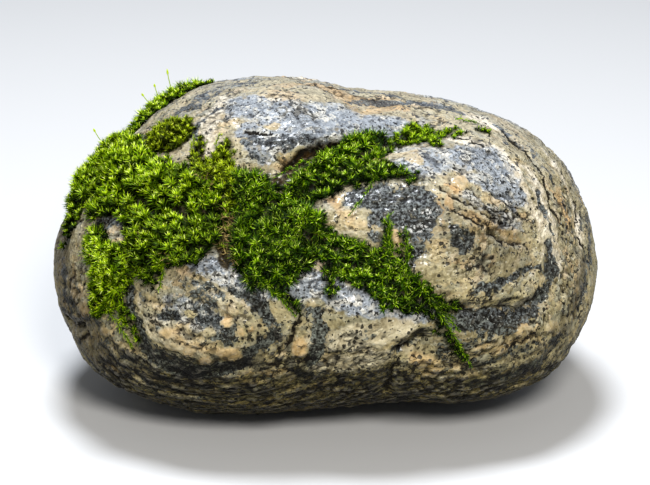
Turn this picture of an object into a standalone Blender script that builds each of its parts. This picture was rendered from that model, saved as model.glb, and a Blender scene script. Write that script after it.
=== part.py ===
"""A mossy cobble of banded gneiss lying on its flattest side, and the moss on it as separate cushions.

Places on the stone are (right, up) in millimetres, seen square on to its broad front face, which
leans back by FACE_LEAN. "front" or "back" says on which side of the stone a place lies.
"""

import math

import bmesh
import bpy
import numpy as np
from mathutils import Vector, noise

MM = 0.001

# The stone
FACE_LEAN = math.radians(20)
CENTRE_HEIGHT = 74.0  # of the middle of the broad face, above the ground
MIDDLE = (0.45, 1.73)  # where that middle stands, which centres the whole over the origin
OUTLINE_STEP = 15  # degrees between the radii below, which go round from the right by the top
OUTLINE = (128, 123, 111.5, 95.5, 82.5, 77, 78.5, 84, 92.5, 101, 107, 118, 129.5, 130.5,
           124, 107.5, 92.5, 81.5, 77, 77.5, 86.5, 104.5, 122, 130)
HALF_DEPTH = 92.0  # of the stone, square to the broad face
BULK = 2.25  # 2 is an ellipsoid, and more is boxier
BACKWARD = 0.165  # how far the stone's rim moves back for each step up
FOOT_BLEND = 1.5  # height over which the ground flat runs out into the round of the stone
STONE_BALL = 7
STONE_FACES = 5200

# Broad swellings: (right, up, reach, rise)
SWELLINGS = {
    "front": (
        (-52, -30, 32, 7),  # belly, low on the left
        (12, -40, 24, 6),  # toe, beside it
        (56, 12, 36, 7),  # shoulder, on the right
        (-20, 60, 32, 5),  # crown
        (32, 66, 26, 3),
        (88, -50, 22, 3),  # heel, low on the right
        (-98, 20, 28, 3),
        (100, 31, 3, 1.3),  # knobs in the outer fold
        (105, 24, 3.5, 1.4),
        (108, 17, 2.5, 1.2),
        (30, -55, 3.5, 1.2),
    ),
    "back": (
        (-52, -6, 44, 5),
        (46, 22, 42, 5),
        (18, -44, 30, 4),
        (94, -16, 24, 3),
        (-20, 62, 30, 3),
    ),
}

# Valleys and clefts: side, width, depth and the places that they run through
VALLEYS = {
    "high_valley": ("front", 8, 7, ((60, 56), (44, 51), (27, 45), (11, 37), (-3, 28), (-16, 20),
                                    (-30, 15), (-42, 17))),
    "left_valley": ("front", 8, 4, ((-40, 14), (-55, 13), (-71, 13), (-88, 18), (-104, 27))),
    "low_valley": ("front", 7, 5, ((-24, 10), (-12, 4), (2, -1), (17, -9), (31, -19), (44, -27),
                                   (58, -29))),
    "seam": ("front", 2.6, 3, ((50, -29), (62, -28), (75, -28), (86, -28), (97, -25), (104, -18))),
    "pit": ("front", 5, 6.5, ((47, -40), (40, -43), (33, -49))),
    "pit_cleft": ("front", 2.6, 3, ((35, -47), (31, -55), (29, -63), (24, -70))),
    "crown_hollow": ("front", 4.5, 6, ((-24, 32), (-16, 37), (-6, 41), (4, 44), (12, 46))),
    "stained_dish": ("front", 6, 2, ((-18, 75), (-8, 74), (2, 71), (10, 66), (18, 63), (34, 65))),
    "outer_fold": ("front", 3.2, 2.8, ((65, 64), (82, 56), (94, 44), (101, 32), (106, 17),
                                       (111, 4), (114, -8))),
    "rim_fold": ("front", 4, 3, ((117, 26), (119, 14), (120, 2), (120, -9))),
    "left_nick": ("front", 3, 3, ((-124, -34), (-116, -37), (-106, -39))),
    "toe_crack": ("front", 2.2, 1.8, ((-13, -26), (-13, -36), (-17, -44), (-24, -52))),
    "crown_crack": ("front", 2, 1, ((-44, 53), (-34, 50), (-22, 49), (-12, 51))),
    "back_seam": ("back", 6, 4, ((-92, 22), (-60, 14), (-20, 19), (22, 8), (66, 14))),
    "back_cleft": ("back", 3.5, 3, ((-8, 16), (4, -10), (-2, -36))),
    "back_crack": ("back", 2.4, 2, ((58, -8), (74, -26), (82, -44))),
}

# Ledges: side, rise, reach and places. What lies above the line, for places from left to right, stands
# proud of what lies below it by twice the rise.
LEDGES = {
    "crown_lip": ("front", 1.4, 10, ((-28, 34), (-16, 40), (-6, 44), (8, 48), (20, 51), (32, 54))),
    "seam_lip": ("front", 1.2, 9, ((52, -27), (64, -26), (76, -26), (87, -26), (98, -22))),
    "high_shingle": ("front", -0.7, 8, ((46, 29), (58, 22), (70, 17), (82, 11), (94, 4))),
    "low_shingle": ("front", -0.7, 8, ((50, 19), (62, 13), (72, 6), (82, 1), (93, -4))),
    "pit_lip": ("front", 1.3, 8, ((24, -52), (33, -45), (42, -39), (50, -36))),
    "nick_lip": ("front", 1.2, 8, ((-126, -32), (-116, -35), (-104, -37))),
    "heel_step": ("front", 0.8, 8, ((60, -44), (78, -41), (96, -37), (110, -28))),
    "back_step": ("back", 1.0, 10, ((96, 6), (60, -12), (20, -8), (-14, -14), (-56, -22))),
}

# Edges where the stone turns from facing up to facing down: side, width, rise and places
SHOULDERS = {
    "bench": ("front", 9, 2.2, ((-70, -10), (-44, -12), (-22, -14), (-4, -18), (8, -26), (22, -31),
                                (44, -33))),
}

WAVER = (13.0, 1.6)  # spacing and size of the wandering of the lines above
UNEVEN = ((36.0, 1.6), (12.0, 0.45))  # spacing and height of the gentle bumps all over

# The moss: how high, how many faces, and runs of joined cushions, (right, up, radius) on a side
MOSS = {
    "moss_mat": (8.5, 640, (
        ("front", ((-107, 46, 8.5), (-111, 35, 9.5), (-113, 23, 8.5), (-117, 14, 4.5), (-120, 6, 3),
                   (-122, 0, 2.2))),
        ("front", ((-101, 47, 8), (-90, 38, 10), (-80, 28, 11), (-69, 19, 12), (-62, 11, 11), (-54, 4, 8),
                   (-48, 4, 4))),
        ("front", ((-96, 28, 11), (-80, 18, 12), (-78, 5, 10), (-78, -6, 8), (-75, -17, 2.4))),
        ("front", ((-74, 30, 8), (-62, 26, 7), (-53, 20, 7.6), (-50, 12, 7), (-50, 5, 6))),
        ("front", ((-103, 17, 6), (-93, 20, 7))),
        ("front", ((-78, 5, 9), (-68, -1, 8), (-60, -2, 6), (-56, -4, 3.6))),
        ("back", ((-105, 48, 8), (-98, 45, 9), (-90, 43, 9), (-82, 41, 8), (-76, 37, 5))),
        ("back", ((-110, 38, 9), (-103, 36, 11), (-96, 33, 12), (-88, 32, 10), (-82, 29, 5))),
        ("back", ((-112, 30, 9), (-107, 26, 9), (-100, 22, 7), (-93, 18, 4))),
    )),
    "moss_apron": (6.5, 220, (
        ("front", ((-103, 4, 4.6), (-102, -3, 6.4), (-99, -11, 7.8), (-100, -19, 7.2), (-101, -25, 5.5),
                   (-105, -32, 2.8))),
        ("front", ((-91, -6, 6.4), (-93, -15, 6.4), (-95, -23, 4.2), (-92, -30, 2.6), (-87, -36, 2.2),
                   (-84, -42, 2))),
    )),
    "moss_heart": (7.5, 270, (
        ("front", ((-36, 26, 6.4), (-31, 25, 6.4), (-29, 15, 9), (-31, 2, 9), (-28, -8, 8), (-29, -14, 4))),
        ("front", ((-29, 15, 8), (-16, 14, 7.6), (-9, 6, 8.5), (-12, -2, 8.5), (-21, -8, 7))),
        ("front", ((-30, 8, 7), (-21, 4, 7), (-12, 0, 7))),
        ("front", ((-24, -13, 3.6), (-18, -21, 2.3), (-13, -27, 1.9))),
    )),
    "moss_saddle": (4.5, 170, (
        ("front", ((-57, 47, 2.2), (-58, 41, 2.4), (-58, 36, 2.8), (-54, 33, 4), (-47, 33, 5.5),
                   (-41, 29, 4.5), (-40, 22, 4), (-41, 17, 3.2))),
        ("front", ((-44, 45, 2.3), (-46, 40, 3.6), (-47, 34, 5.5))),
    )),
    "moss_ridge": (7.0, 245, (
        ("front", ((-19, 21, 3.2), (-14, 23, 4.5), (-7, 27, 6.8), (1, 32, 8.6), (9, 37, 9), (16, 42, 8.2),
                   (23, 47, 5.5), (27, 49, 3.7))),
        ("front", ((9, 34, 7.7), (18, 34, 6.8), (27, 33, 4), (34, 30, 2.4), (39, 29, 1.9))),
    )),
    "moss_ridge_tip": (4.5, 120, (
        ("front", ((34, 49, 2.8), (38, 50, 4), (43, 53, 4.6), (49, 53, 3.7), (55, 52, 2.4), (61, 52, 1.9))),
        ("front", ((47, 50, 3.2), (50, 45, 2.2))),
    )),
    "moss_slope": (6.5, 340, (
        ("front", ((-3, 6, 3.2), (1, 0, 4.6), (6, -4, 6.7), (14, -8, 7.6), (22, -13, 8.5), (30, -18, 8.5),
                   (38, -23, 6.7), (44, -26, 4.5), (52, -27, 2.7), (59, -28, 1.9))),
        ("front", ((47, -29, 2.7), (51, -36, 2.1), (57, -45, 2), (62, -51, 1.9))),
        ("front", ((2, -4, 2.7), (1, -13, 2.1), (2, -21, 1.9))),
        ("front", ((26, -8, 2.4), (26, 2, 2), (26, 10, 1.9))),
        ("front", ((34, -11, 2.4), (34, -2, 2), (34, 4, 1.9))),
    )),
    "moss_crown": (7.5, 200, (
        ("front", ((-59, 79, 3), (-66, 76, 5.2), (-74, 71, 6.6), (-82, 66, 6.6), (-88, 60, 6),
                   (-95, 54, 4))),
        ("back", ((-70, 68, 5), (-80, 62, 6), (-90, 54, 4))),
    )),
    "moss_button": (8.5, 150, (
        ("front", ((-70, 50, 9.6), (-74, 49, 7.4), (-79, 53, 4.2))),
    )),
    "moss_tuft": (2.6, 50, (
        ("front", ((71, 53, 2.3), (75, 53, 2.1))),
    )),
}
MOSS_EDGE = 1.3  # height of the moss at its rim
MOSS_CLUMPS = (7.0, 0.8)  # spacing and height of the unevenness of its top
MOSS_BALL = 8
MOSS_CELL = 0.9  # size of the cells that the cushions are closed up with
ROOT = 2.5  # how far the cushions reach into the stone before its shape is taken out of them
GAP = 0.3  # between the moss and the stone
LONGEST_STEP = 6.0  # along the surface, between the points that a line is laid out with

STONE_COLOUR = (0.38, 0.36, 0.31, 1)
MOSS_COLOUR = (0.11, 0.22, 0.01, 1)
DARK_MOSS_COLOUR = (0.05, 0.12, 0.01, 1)
OLIVE_MOSS_COLOUR = (0.09, 0.13, 0.01, 1)
BRIGHT_MOSS = ("moss_mat", "moss_crown", "moss_apron")
OLIVE_MOSS = ("moss_saddle", "moss_button", "moss_ridge_tip", "moss_tuft")


def clear_scene():
    for obj in list(bpy.data.objects):
        bpy.data.objects.remove(obj, do_unlink=True)


def collection(name):
    made = bpy.data.collections.new(name)
    bpy.context.scene.collection.children.link(made)
    return made


def material(name, colour, roughness):
    made = bpy.data.materials.new(name)
    made.use_nodes = True
    made.diffuse_color = colour
    shader = made.node_tree.nodes["Principled BSDF"]
    shader.inputs["Base Color"].default_value = colour
    shader.inputs["Roughness"].default_value = roughness
    shader.inputs["Metallic"].default_value = 0
    return made


# The broad face's own directions: right, up the face, and out of it
AXES = np.array((
    (1, 0, 0),
    (0, math.sin(FACE_LEAN), math.cos(FACE_LEAN)),
    (0, -math.cos(FACE_LEAN), math.sin(FACE_LEAN)),
))


def rim_radius(angle):
    """The outline's radius at these angles, as a smooth closed curve through the OUTLINE radii."""
    radii = np.array(OUTLINE, float)
    at = np.degrees(angle) % 360 / OUTLINE_STEP
    first = np.floor(at).astype(int)
    t = at - first
    a, b, c, d = (radii[(first + k) % len(radii)] for k in (-1, 0, 1, 2))
    return b + 0.5 * t * (c - a + t * (2 * a - 5 * b + 4 * c - d + t * (3 * (b - c) + d - a)))


def plain_stone(directions):
    """Points of the stone without its relief, about its centre, for unit directions (right, up, out)."""
    flat = np.hypot(directions[:, 0], directions[:, 1])
    grow = (flat**BULK + np.abs(directions[:, 2]) ** BULK) ** (-1 / BULK)
    radius = rim_radius(np.arctan2(directions[:, 1], directions[:, 0]))
    right, up = (directions[:, k] * grow * radius for k in (0, 1))
    out = directions[:, 2] * grow * HALF_DEPTH - BACKWARD * up
    return right[:, None] * AXES[0] + up[:, None] * AXES[1] + out[:, None] * AXES[2]


def place(side, right, up):
    """The point of the plain stone at a place on its front or its back."""
    share = math.hypot(right, up) / float(rim_radius(np.array(math.atan2(up, right))))
    if share > 0.999:
        right, up, share = right * 0.999 / share, up * 0.999 / share, 0.999
    out = HALF_DEPTH * (1 - share**BULK) ** (1 / BULK)
    return np.array((right, up, (out if side == "front" else -out) - BACKWARD * up)) @ AXES


def laid_out(side, run):
    """The run's points on the plain stone, with more put in between so that it hugs the surface. Each
    keeps the rest of its numbers, such as a radius."""
    entries = [tuple(map(float, entry)) for entry in run]
    k = 0
    while k < len(entries) - 1:
        a, b = entries[k], entries[k + 1]
        if np.linalg.norm(place(side, *a[:2]) - place(side, *b[:2])) < LONGEST_STEP:
            k += 1
        else:
            entries.insert(k + 1, tuple((p + q) / 2 for p, q in zip(a, b, strict=True)))
    return [(place(side, *entry[:2]), *entry[2:]) for entry in entries]


def along_run(points, outward, run):
    """How far each point is from the line through the run's points, on which side of it (above is
    positive, for a line from left to right), and how far along it, from 0 to 1."""
    far = np.full(len(points), np.inf)
    side = np.ones(len(points))
    along = np.zeros(len(points))
    lengths = [np.linalg.norm(b - a) for a, b in zip(run[:-1], run[1:], strict=True)]
    done = 0.0
    for a, b, length in zip(run[:-1], run[1:], lengths, strict=True):
        step = (b - a) / length
        part = np.clip(((points - a) * step).sum(1), 0, length)
        away = points - a - part[:, None] * step
        here = np.linalg.norm(away, axis=1)
        near = here < far
        far[near] = here[near]
        side[near] = np.sign((away * np.cross(outward, step)).sum(1))[near]
        along[near] = (done + part)[near] / sum(lengths)
        done += length
    return far, side, along


def tapered(along, ends=0.16):
    """1 along most of a line, and down to 0 at its ends."""
    t = np.clip(np.minimum(along, 1 - along) / ends, 0, 1)
    return t * t * (3 - 2 * t)


def bumps(points, spacing):
    return np.array([noise.noise(Vector(p) / spacing) for p in points])


def relief(points, outward):
    """How far the stone's surface stands out from the plain stone at each point."""
    spacing, size = WAVER
    wander = size * np.stack([bumps(points + shift, spacing) for shift in (0, 211, 523)], 1)
    strayed = points + wander
    rise = sum(height * bumps(points, spacing) for spacing, height in UNEVEN)
    for side, lumps in SWELLINGS.items():
        for right, up, reach, height in lumps:
            far = np.linalg.norm(points - place(side, right, up), axis=1)
            rise += height * np.exp(-((far / reach) ** 2))
    for side, width, height, places in SHOULDERS.values():
        far, _, along = along_run(strayed, outward, [p for p, in laid_out(side, places)])
        rise += height * np.exp(-((far / width) ** 2)) * tapered(along)
    for side, height, reach, places in LEDGES.values():
        far, above, along = along_run(strayed, outward, [p for p, in laid_out(side, places)])
        rise += height * above * np.tanh(far / 0.9) * np.exp(-((far / reach) ** 2)) * tapered(along)
    cut = np.zeros(len(points))
    for side, width, depth, places in VALLEYS.values():
        far, _, along = along_run(strayed, outward, [p for p, in laid_out(side, places)])
        cut = np.maximum(cut, depth * np.exp(-((far / width) ** 1.6)) * tapered(along))
    return rise - cut


def on_ground(points):
    """The points moved up to stand on the ground, where the stone has a flat foot with a soft edge."""
    height = points[:, 2] + CENTRE_HEIGHT
    soft = (height + FOOT_BLEND) ** 2 / (4 * FOOT_BLEND)
    height = np.where(height < FOOT_BLEND, np.where(height < -FOOT_BLEND, 0, soft), height)
    return np.column_stack((points[:, :2] + MIDDLE, height))


def ball(steps):
    """The unit directions and the triangles of a fine ball."""
    made = bmesh.new()
    bmesh.ops.create_icosphere(made, subdivisions=steps, radius=1)
    directions = np.array([v.co for v in made.verts])
    faces = np.array([[v.index for v in face.verts] for face in made.faces])
    made.free()
    return directions / np.linalg.norm(directions, axis=1)[:, None], faces


def mesh_object(name, points, faces, into):
    """An object in the collection with these points, in millimetres, and faces."""
    mesh = bpy.data.meshes.new(name)
    mesh.from_pydata((np.asarray(points) * MM).tolist(), [], [list(map(int, face)) for face in faces])
    mesh.validate()
    obj = bpy.data.objects.new(name, mesh)
    into.objects.link(obj)
    return obj


def fewer_faces(obj, count, now):
    modifier = obj.modifiers.new("fewer_faces", "DECIMATE")
    modifier.ratio = min(1, count / now)


def build_stone(parts, cutters):
    """The stone, and a copy of it grown by the gap, for shaping the undersides of the moss."""
    directions, faces = ball(STONE_BALL)
    plain = plain_stone(directions)
    outward = plain / np.linalg.norm(plain, axis=1)[:, None]
    stone = mesh_object("stone", on_ground(plain + outward * relief(plain, outward)[:, None]), faces, parts)
    fewer_faces(stone, STONE_FACES, len(faces))
    bpy.context.view_layer.update()
    evaluated = stone.evaluated_get(bpy.context.evaluated_depsgraph_get())
    coarse = bpy.data.meshes.new_from_object(evaluated)
    stone.modifiers.clear()
    stone.data = coarse
    coarse.name = "stone"
    for vertex in coarse.vertices:
        if vertex.co.z < 0.06 * MM:
            vertex.co.z = 0
    coarse.update()
    coarse.materials.append(material("gneiss", STONE_COLOUR, 0.55))
    grown = coarse.copy()
    grown.name = "stone_and_gap"
    for vertex, kept in zip(grown.vertices, coarse.vertices, strict=True):
        vertex.co = kept.co + kept.normal * GAP * MM
    cutter = bpy.data.objects.new("stone_and_gap", grown)
    cutters.objects.link(cutter)
    cutter.hide_render = True
    cutter.display_type = "WIRE"
    return stone, cutter


def moss_height(points, outward, height, runs):
    """How high one moss stands over each point, or 0 outside it."""
    best = np.zeros(len(points))
    for side, run in runs:
        entries = laid_out(side, run)
        for (a, start), (b, end) in zip(entries[:-1], entries[1:], strict=True):
            far, _, along = along_run(points, outward, (a, b))
            radius = start + (end - start) * along
            top = np.minimum(height, 1.05 * radius)
            inside = np.sqrt(np.clip(1 - (far / radius) ** 2, 0, 1))
            best = np.maximum(best, np.where(far < radius, MOSS_EDGE + (top - MOSS_EDGE) * inside, 0))
    return best


def biggest_patch(faces):
    """The faces of the biggest group that hangs together by edges."""
    made = bmesh.new()
    verts = [made.verts.new() for _ in range(int(faces.max()) + 1)]
    for face in faces:
        made.faces.new([verts[k] for k in face])
    made.faces.index_update()
    left = set(made.faces)
    patches = []
    while left:
        seed = min(left, key=lambda face: face.index)
        left.discard(seed)
        patch, todo = [seed], [seed]
        while todo:
            for edge in todo.pop().edges:
                for face in edge.link_faces:
                    if face in left:
                        left.discard(face)
                        patch.append(face)
                        todo.append(face)
        patches.append([face.index for face in patch])
    made.free()
    return faces[sorted(max(patches, key=len))]


def shell(faces, low, high):
    """A closed shell over a patch of faces, between its points low down and high up."""
    used, index = np.unique(faces, return_inverse=True)
    index = index.reshape(faces.shape)
    edges = np.concatenate((index[:, (0, 1)], index[:, (1, 2)], index[:, (2, 0)]))
    known = {tuple(edge) for edge in edges.tolist()}
    count = len(used)
    walls = [(a + count, b + count, b, a) for a, b in known if (b, a) not in known]
    built = [tuple(face) for face in index.tolist()]
    built += [(c + count, b + count, a + count) for a, b, c in index.tolist()]
    built += sorted(walls)
    return np.concatenate((high[used], low[used])), built


def build_moss(parts, cutter):
    directions, faces = ball(MOSS_BALL)
    plain = plain_stone(directions)
    close = np.zeros(len(plain), bool)
    for _, _, runs in MOSS.values():
        for side, run in runs:
            for middle, radius in laid_out(side, run):
                close |= np.linalg.norm(plain - middle, axis=1) < radius + 8
    index = np.cumsum(close) - 1
    faces = index[faces[close[faces].all(1)]]
    plain = plain[close]
    outward = plain / np.linalg.norm(plain, axis=1)[:, None]
    ground = plain + outward * relief(plain, outward)[:, None]
    names = list(MOSS)
    heights = np.stack([
        moss_height(plain, outward, height, runs) for height, _, runs in MOSS.values()
    ])
    owner = np.where(heights.max(0) > 0, heights.argmax(0), -1)
    spacing, size = MOSS_CLUMPS
    clumps = size * bumps(plain, spacing)
    colours = {
        "bright": material("bright_moss", MOSS_COLOUR, 0.8),
        "dark": material("dark_moss", DARK_MOSS_COLOUR, 0.8),
        "olive": material("olive_moss", OLIVE_MOSS_COLOUR, 0.8),
    }
    for k, name in enumerate(names):
        patch = biggest_patch(faces[(owner[faces] == k).all(1)])
        top = heights[k] + clumps * np.clip((heights[k] - MOSS_EDGE) / 3, 0, 1)
        points, built = shell(
            patch, on_ground(ground - outward * ROOT), on_ground(ground + outward * top[:, None])
        )
        moss = mesh_object(name, points, built, parts)
        kind = "bright" if name in BRIGHT_MOSS else "olive" if name in OLIVE_MOSS else "dark"
        moss.data.materials.append(colours[kind])
        cells = moss.modifiers.new("close_up", "REMESH")
        cells.mode = "VOXEL"
        cells.voxel_size = MOSS_CELL * MM
        bpy.context.view_layer.update()
        fine = moss.evaluated_get(bpy.context.evaluated_depsgraph_get()).to_mesh()
        now = sum(len(p.vertices) - 2 for p in fine.polygons)
        moss.evaluated_get(bpy.context.evaluated_depsgraph_get()).to_mesh_clear()
        fewer_faces(moss, MOSS[name][1], now)
        cut = moss.modifiers.new("sit_on_stone", "BOOLEAN")
        cut.operation = "DIFFERENCE"
        cut.solver = "EXACT"
        cut.object = cutter


def main():
    clear_scene()
    parts = collection("mossy_rock")
    cutters = collection("cutters")
    cutters.hide_render = True
    _, cutter = build_stone(parts, cutters)
    build_moss(parts, cutter)


main()
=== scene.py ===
import math

import bpy
import numpy as np
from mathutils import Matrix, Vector, noise
from mathutils.bvhtree import BVHTree


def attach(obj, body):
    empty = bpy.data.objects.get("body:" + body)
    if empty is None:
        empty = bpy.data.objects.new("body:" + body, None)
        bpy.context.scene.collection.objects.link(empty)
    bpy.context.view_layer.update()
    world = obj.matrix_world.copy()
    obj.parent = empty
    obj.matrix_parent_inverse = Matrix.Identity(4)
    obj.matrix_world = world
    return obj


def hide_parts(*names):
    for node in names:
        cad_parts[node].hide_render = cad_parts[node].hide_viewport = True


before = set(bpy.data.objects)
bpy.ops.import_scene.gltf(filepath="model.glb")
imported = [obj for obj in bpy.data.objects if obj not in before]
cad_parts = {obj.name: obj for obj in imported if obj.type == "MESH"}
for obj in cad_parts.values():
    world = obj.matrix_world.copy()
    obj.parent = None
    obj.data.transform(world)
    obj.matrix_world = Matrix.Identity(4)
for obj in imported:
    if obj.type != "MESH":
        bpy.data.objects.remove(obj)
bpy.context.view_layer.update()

print("frame loaded")

mm = 0.001
faceLean = math.radians(20)
centre = np.array((0.45, 1.73, 74.0))  # mm, inside the stone, behind the middle of its broad face
# right, up the broad face, and out of it: places on the stone are (right, up) in mm on that face
faceAxes = np.array((
    (1, 0, 0),
    (0, math.sin(faceLean), math.cos(faceLean)),
    (0, -math.cos(faceLean), math.sin(faceLean)),
))


def screen(red, green, blue):  # a colour as a picker shows it, 0 to 255
    parts = [c / 255 for c in (red, green, blue)]
    return tuple(c / 12.92 if c <= 0.04045 else ((c + 0.055) / 1.055) ** 2.4 for c in parts) + (1,)


class Wire:
    # one output socket of a node tree, which can be used in sums
    def __init__(self, tree, socket):
        self.tree = tree
        self.socket = socket

    def node(self, kind, settings=None, sockets=None, out=0):
        made = self.tree.nodes.new(kind)
        for name, value in (settings or {}).items():
            if name == "stops":
                bar = made.color_ramp
                for at, colour in value[1:-1]:
                    bar.elements.new(at).color = colour
                for element, (at, colour) in zip(bar.elements, value):
                    element.position, element.color = at, colour
            else:
                setattr(made, name, value)
        for name, value in (sockets or {}).items():
            if isinstance(value, Wire):
                value.into(made, name)
            else:
                made.inputs[name].default_value = value
        return Wire(self.tree, made.outputs[out])

    def into(self, node, name):
        self.tree.links.new(self.socket, node.inputs[name])

    def sum(self, operation, first, second):
        return self.node("ShaderNodeMath", {"operation": operation}, {0: first, 1: second})

    def __add__(self, other): return self.sum("ADD", self, other)
    def __radd__(self, other): return self.sum("ADD", other, self)
    def __sub__(self, other): return self.sum("SUBTRACT", self, other)
    def __rsub__(self, other): return self.sum("SUBTRACT", other, self)
    def __mul__(self, other): return self.sum("MULTIPLY", self, other)
    def __rmul__(self, other): return self.sum("MULTIPLY", other, self)

    def attribute(self, name):
        return self.node("ShaderNodeAttribute", {"attribute_name": name}, out="Fac")

    def step(self, low, high):  # 0 below low, 1 above high, soft between
        return self.node("ShaderNodeMapRange", {"interpolation_type": "SMOOTHSTEP"},
                         {"Value": self, "From Min": low, "From Max": high})

    def most(self, other):
        return self.sum("MAXIMUM", self, other)

    def least(self, other):
        return self.sum("MINIMUM", self, other)

    def blend(self, under, over):  # colours, by this wire as the factor
        return self.node("ShaderNodeMix", {"data_type": "RGBA", "clamp_factor": True},
                         {0: self, 6: under, 7: over}, out=2)

    def tinted(self, colour, how="MULTIPLY", amount=1.0):
        return self.node("ShaderNodeMix", {"data_type": "RGBA", "blend_type": how, "clamp_factor": True},
                         {0: amount, 6: self, 7: colour}, out=2)

    def scaled(self, amount):  # of a vector
        return self.node("ShaderNodeVectorMath", {"operation": "SCALE"}, {0: self, "Scale": amount})

    def shifted(self, other):
        return self.node("ShaderNodeVectorMath", {"operation": "ADD"}, {0: self, 1: other})

    def clouds(self, size, detail=2.0, rough=0.5, out="Fac"):  # noise with lumps of that size, mm
        return self.node("ShaderNodeTexNoise", {}, {"Vector": self, "Scale": 1 / size, "Detail": detail,
                                                    "Roughness": rough}, out=out)

    def ripple(self, size, detail, rough):  # the same, about 0 and mostly between -1 and 1
        return (self.clouds(size, detail, rough) - 0.5) * 4.5

    def cells(self, size, feature="F1", out="Distance"):
        return self.node("ShaderNodeTexVoronoi", {"feature": feature}, {"Vector": self, "Scale": 1 / size},
                         out=out)

    def vector(self, x, y, z):
        return self.node("ShaderNodeCombineXYZ", {}, {0: x, 1: y, 2: z})

    def part(self, index):  # of a vector or colour
        return self.node("ShaderNodeSeparateXYZ", {}, {0: self}, out=index)


def newMaterial(name):
    made = bpy.data.materials.new(name)
    made.use_nodes = True
    shader = made.node_tree.nodes["Principled BSDF"]
    return made, shader, Wire(made.node_tree, None)


def meshOf(obj):
    obj.data.calc_loop_triangles()
    count = len(obj.data.vertices)
    points = np.empty(count * 3)
    obj.data.vertices.foreach_get("co", points)
    corners = np.empty(len(obj.data.loop_triangles) * 3, int)
    obj.data.loop_triangles.foreach_get("vertices", corners)
    return points.reshape(-1, 3) / mm, corners.reshape(-1, 3)


def newPiece(name, points, faces, uv, fields, normals=None):
    # points in mm; faces all with the same number of corners; uv for each corner; fields are numbers
    # kept for each point
    sides = faces.shape[1]
    mesh = bpy.data.meshes.new(name)
    mesh.vertices.add(len(points))
    mesh.vertices.foreach_set("co", (points * mm).astype(np.float32).ravel())
    mesh.loops.add(faces.size)
    mesh.loops.foreach_set("vertex_index", faces.astype(np.int32).ravel())
    mesh.polygons.add(len(faces))
    mesh.polygons.foreach_set("loop_start", np.arange(0, faces.size, sides, dtype=np.int32))
    mesh.polygons.foreach_set("use_smooth", np.ones(len(faces), bool))
    mesh.update(calc_edges=True)
    layer = mesh.uv_layers.new(name="OFBake")
    layer.data.foreach_set("uv", uv.astype(np.float32).ravel())
    for field, values in fields.items():
        kept = mesh.attributes.new(field, "FLOAT", "POINT")
        kept.data.foreach_set("value", np.asarray(values, np.float32))
    if normals is not None:
        mesh.normals_split_custom_set_from_vertices(normals.tolist())
    obj = bpy.data.objects.new(name, mesh)
    bpy.context.scene.collection.objects.link(obj)
    return obj


def treeOf(obj):
    return BVHTree.FromPolygons(*(part.tolist() for part in meshOf(obj)))


stoneTree = treeOf(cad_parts["stone"])
clear = 250  # mm, well outside the stone


def onStone(side, right, up):
    # the point of the stone that is seen at this place, square on to the face; a place just past
    # the stone's outline is drawn inward until it meets it
    out = faceAxes[2] * (1 if side == "front" else -1)
    for inward in np.linspace(1, 0.6, 60):
        start = centre + right * inward * faceAxes[0] + up * inward * faceAxes[1] + out * clear
        hit = stoneTree.ray_cast(Vector(start), Vector(-out))[0]
        if hit is not None:
            return np.array(hit)


def lineOnStone(side, places, step=5.0):
    # the places, with more between them so that the line hugs the stone
    flat = [np.array(place[:2], float) for place in places]
    k = 0
    while k < len(flat) - 1:
        if np.linalg.norm(onStone(side, *flat[k]) - onStone(side, *flat[k + 1])) < step \
                or np.linalg.norm(flat[k] - flat[k + 1]) < 0.6:
            k += 1
        else:
            flat.insert(k + 1, (flat[k] + flat[k + 1]) / 2)
    return np.array([onStone(side, *place) for place in flat])


def fromLine(points, line):
    # distance from a line, which side of it (above is positive, going right), and how far along it
    far = np.full(len(points), np.inf)
    side = np.ones(len(points))
    along = np.zeros(len(points))
    outward = points - centre
    outward /= np.linalg.norm(outward, axis=1)[:, None]
    lengths = np.linalg.norm(np.diff(line, axis=0), axis=1)
    done = 0.0
    for a, b, length in zip(line[:-1], line[1:], lengths):
        if length < 1e-6:
            continue
        heading = (b - a) / length
        part = np.clip((points - a) @ heading, 0, length)
        away = points - a - part[:, None] * heading
        here = np.linalg.norm(away, axis=1)
        near = here < far
        far[near] = here[near]
        side[near] = np.sign((away * np.cross(outward, heading)).sum(1))[near]
        along[near] = (done + part[near]) / lengths.sum()
        done += length
    return far, side, along


def nearTo(points, line, reach):
    low, high = line.min(0) - reach, line.max(0) + reach
    return np.nonzero(((points > low) & (points < high)).all(1))[0]


def soft(values, low, high):
    t = np.clip((values - low) / (high - low), 0, 1)
    return t * t * (3 - 2 * t)


def lumps(points, size, shift=0.0):  # noise with lumps of that size, mm
    return np.array([noise.noise(Vector(p)) for p in (points + shift) / size])


def strays(points, size, *shifts):  # the same in each of the three directions
    return np.stack([lumps(points, size, shift) for shift in shifts], 1)


# The stone: a fine net wrapped round the solid, with its grain and cracks worked into it
stone = {
    "cells": 128,           # along each edge of the net's six squares
    "towardsFront": 0.16,   # gathers the net on the front
    "half": (125, 86, 92),  # rough half length, depth and height, mm
    "blur": 14,             # rounds that soften the solid's facets
    "wave": (12.0, 0.85),   # size and height of the bumps, mm
    "rough": (5.5, 0.6),
    "grit": (2.8, 0.7),
    "pits": (4.6, 0.7),     # spacing and depth
    "grains": (4.8, 0.7),   # size and height of the rounded grains
    "bigGrain": 0.11,       # height of a single big grain, for each mm of its half width
    "ridges": 1.0,          # height of the low ridges that follow the bands
    "bandGap": 13.0,        # how sharply the bands of two eyes part, mm
    "mossShade": 9.0,       # how far the moss darkens the stone, mm
}

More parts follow.
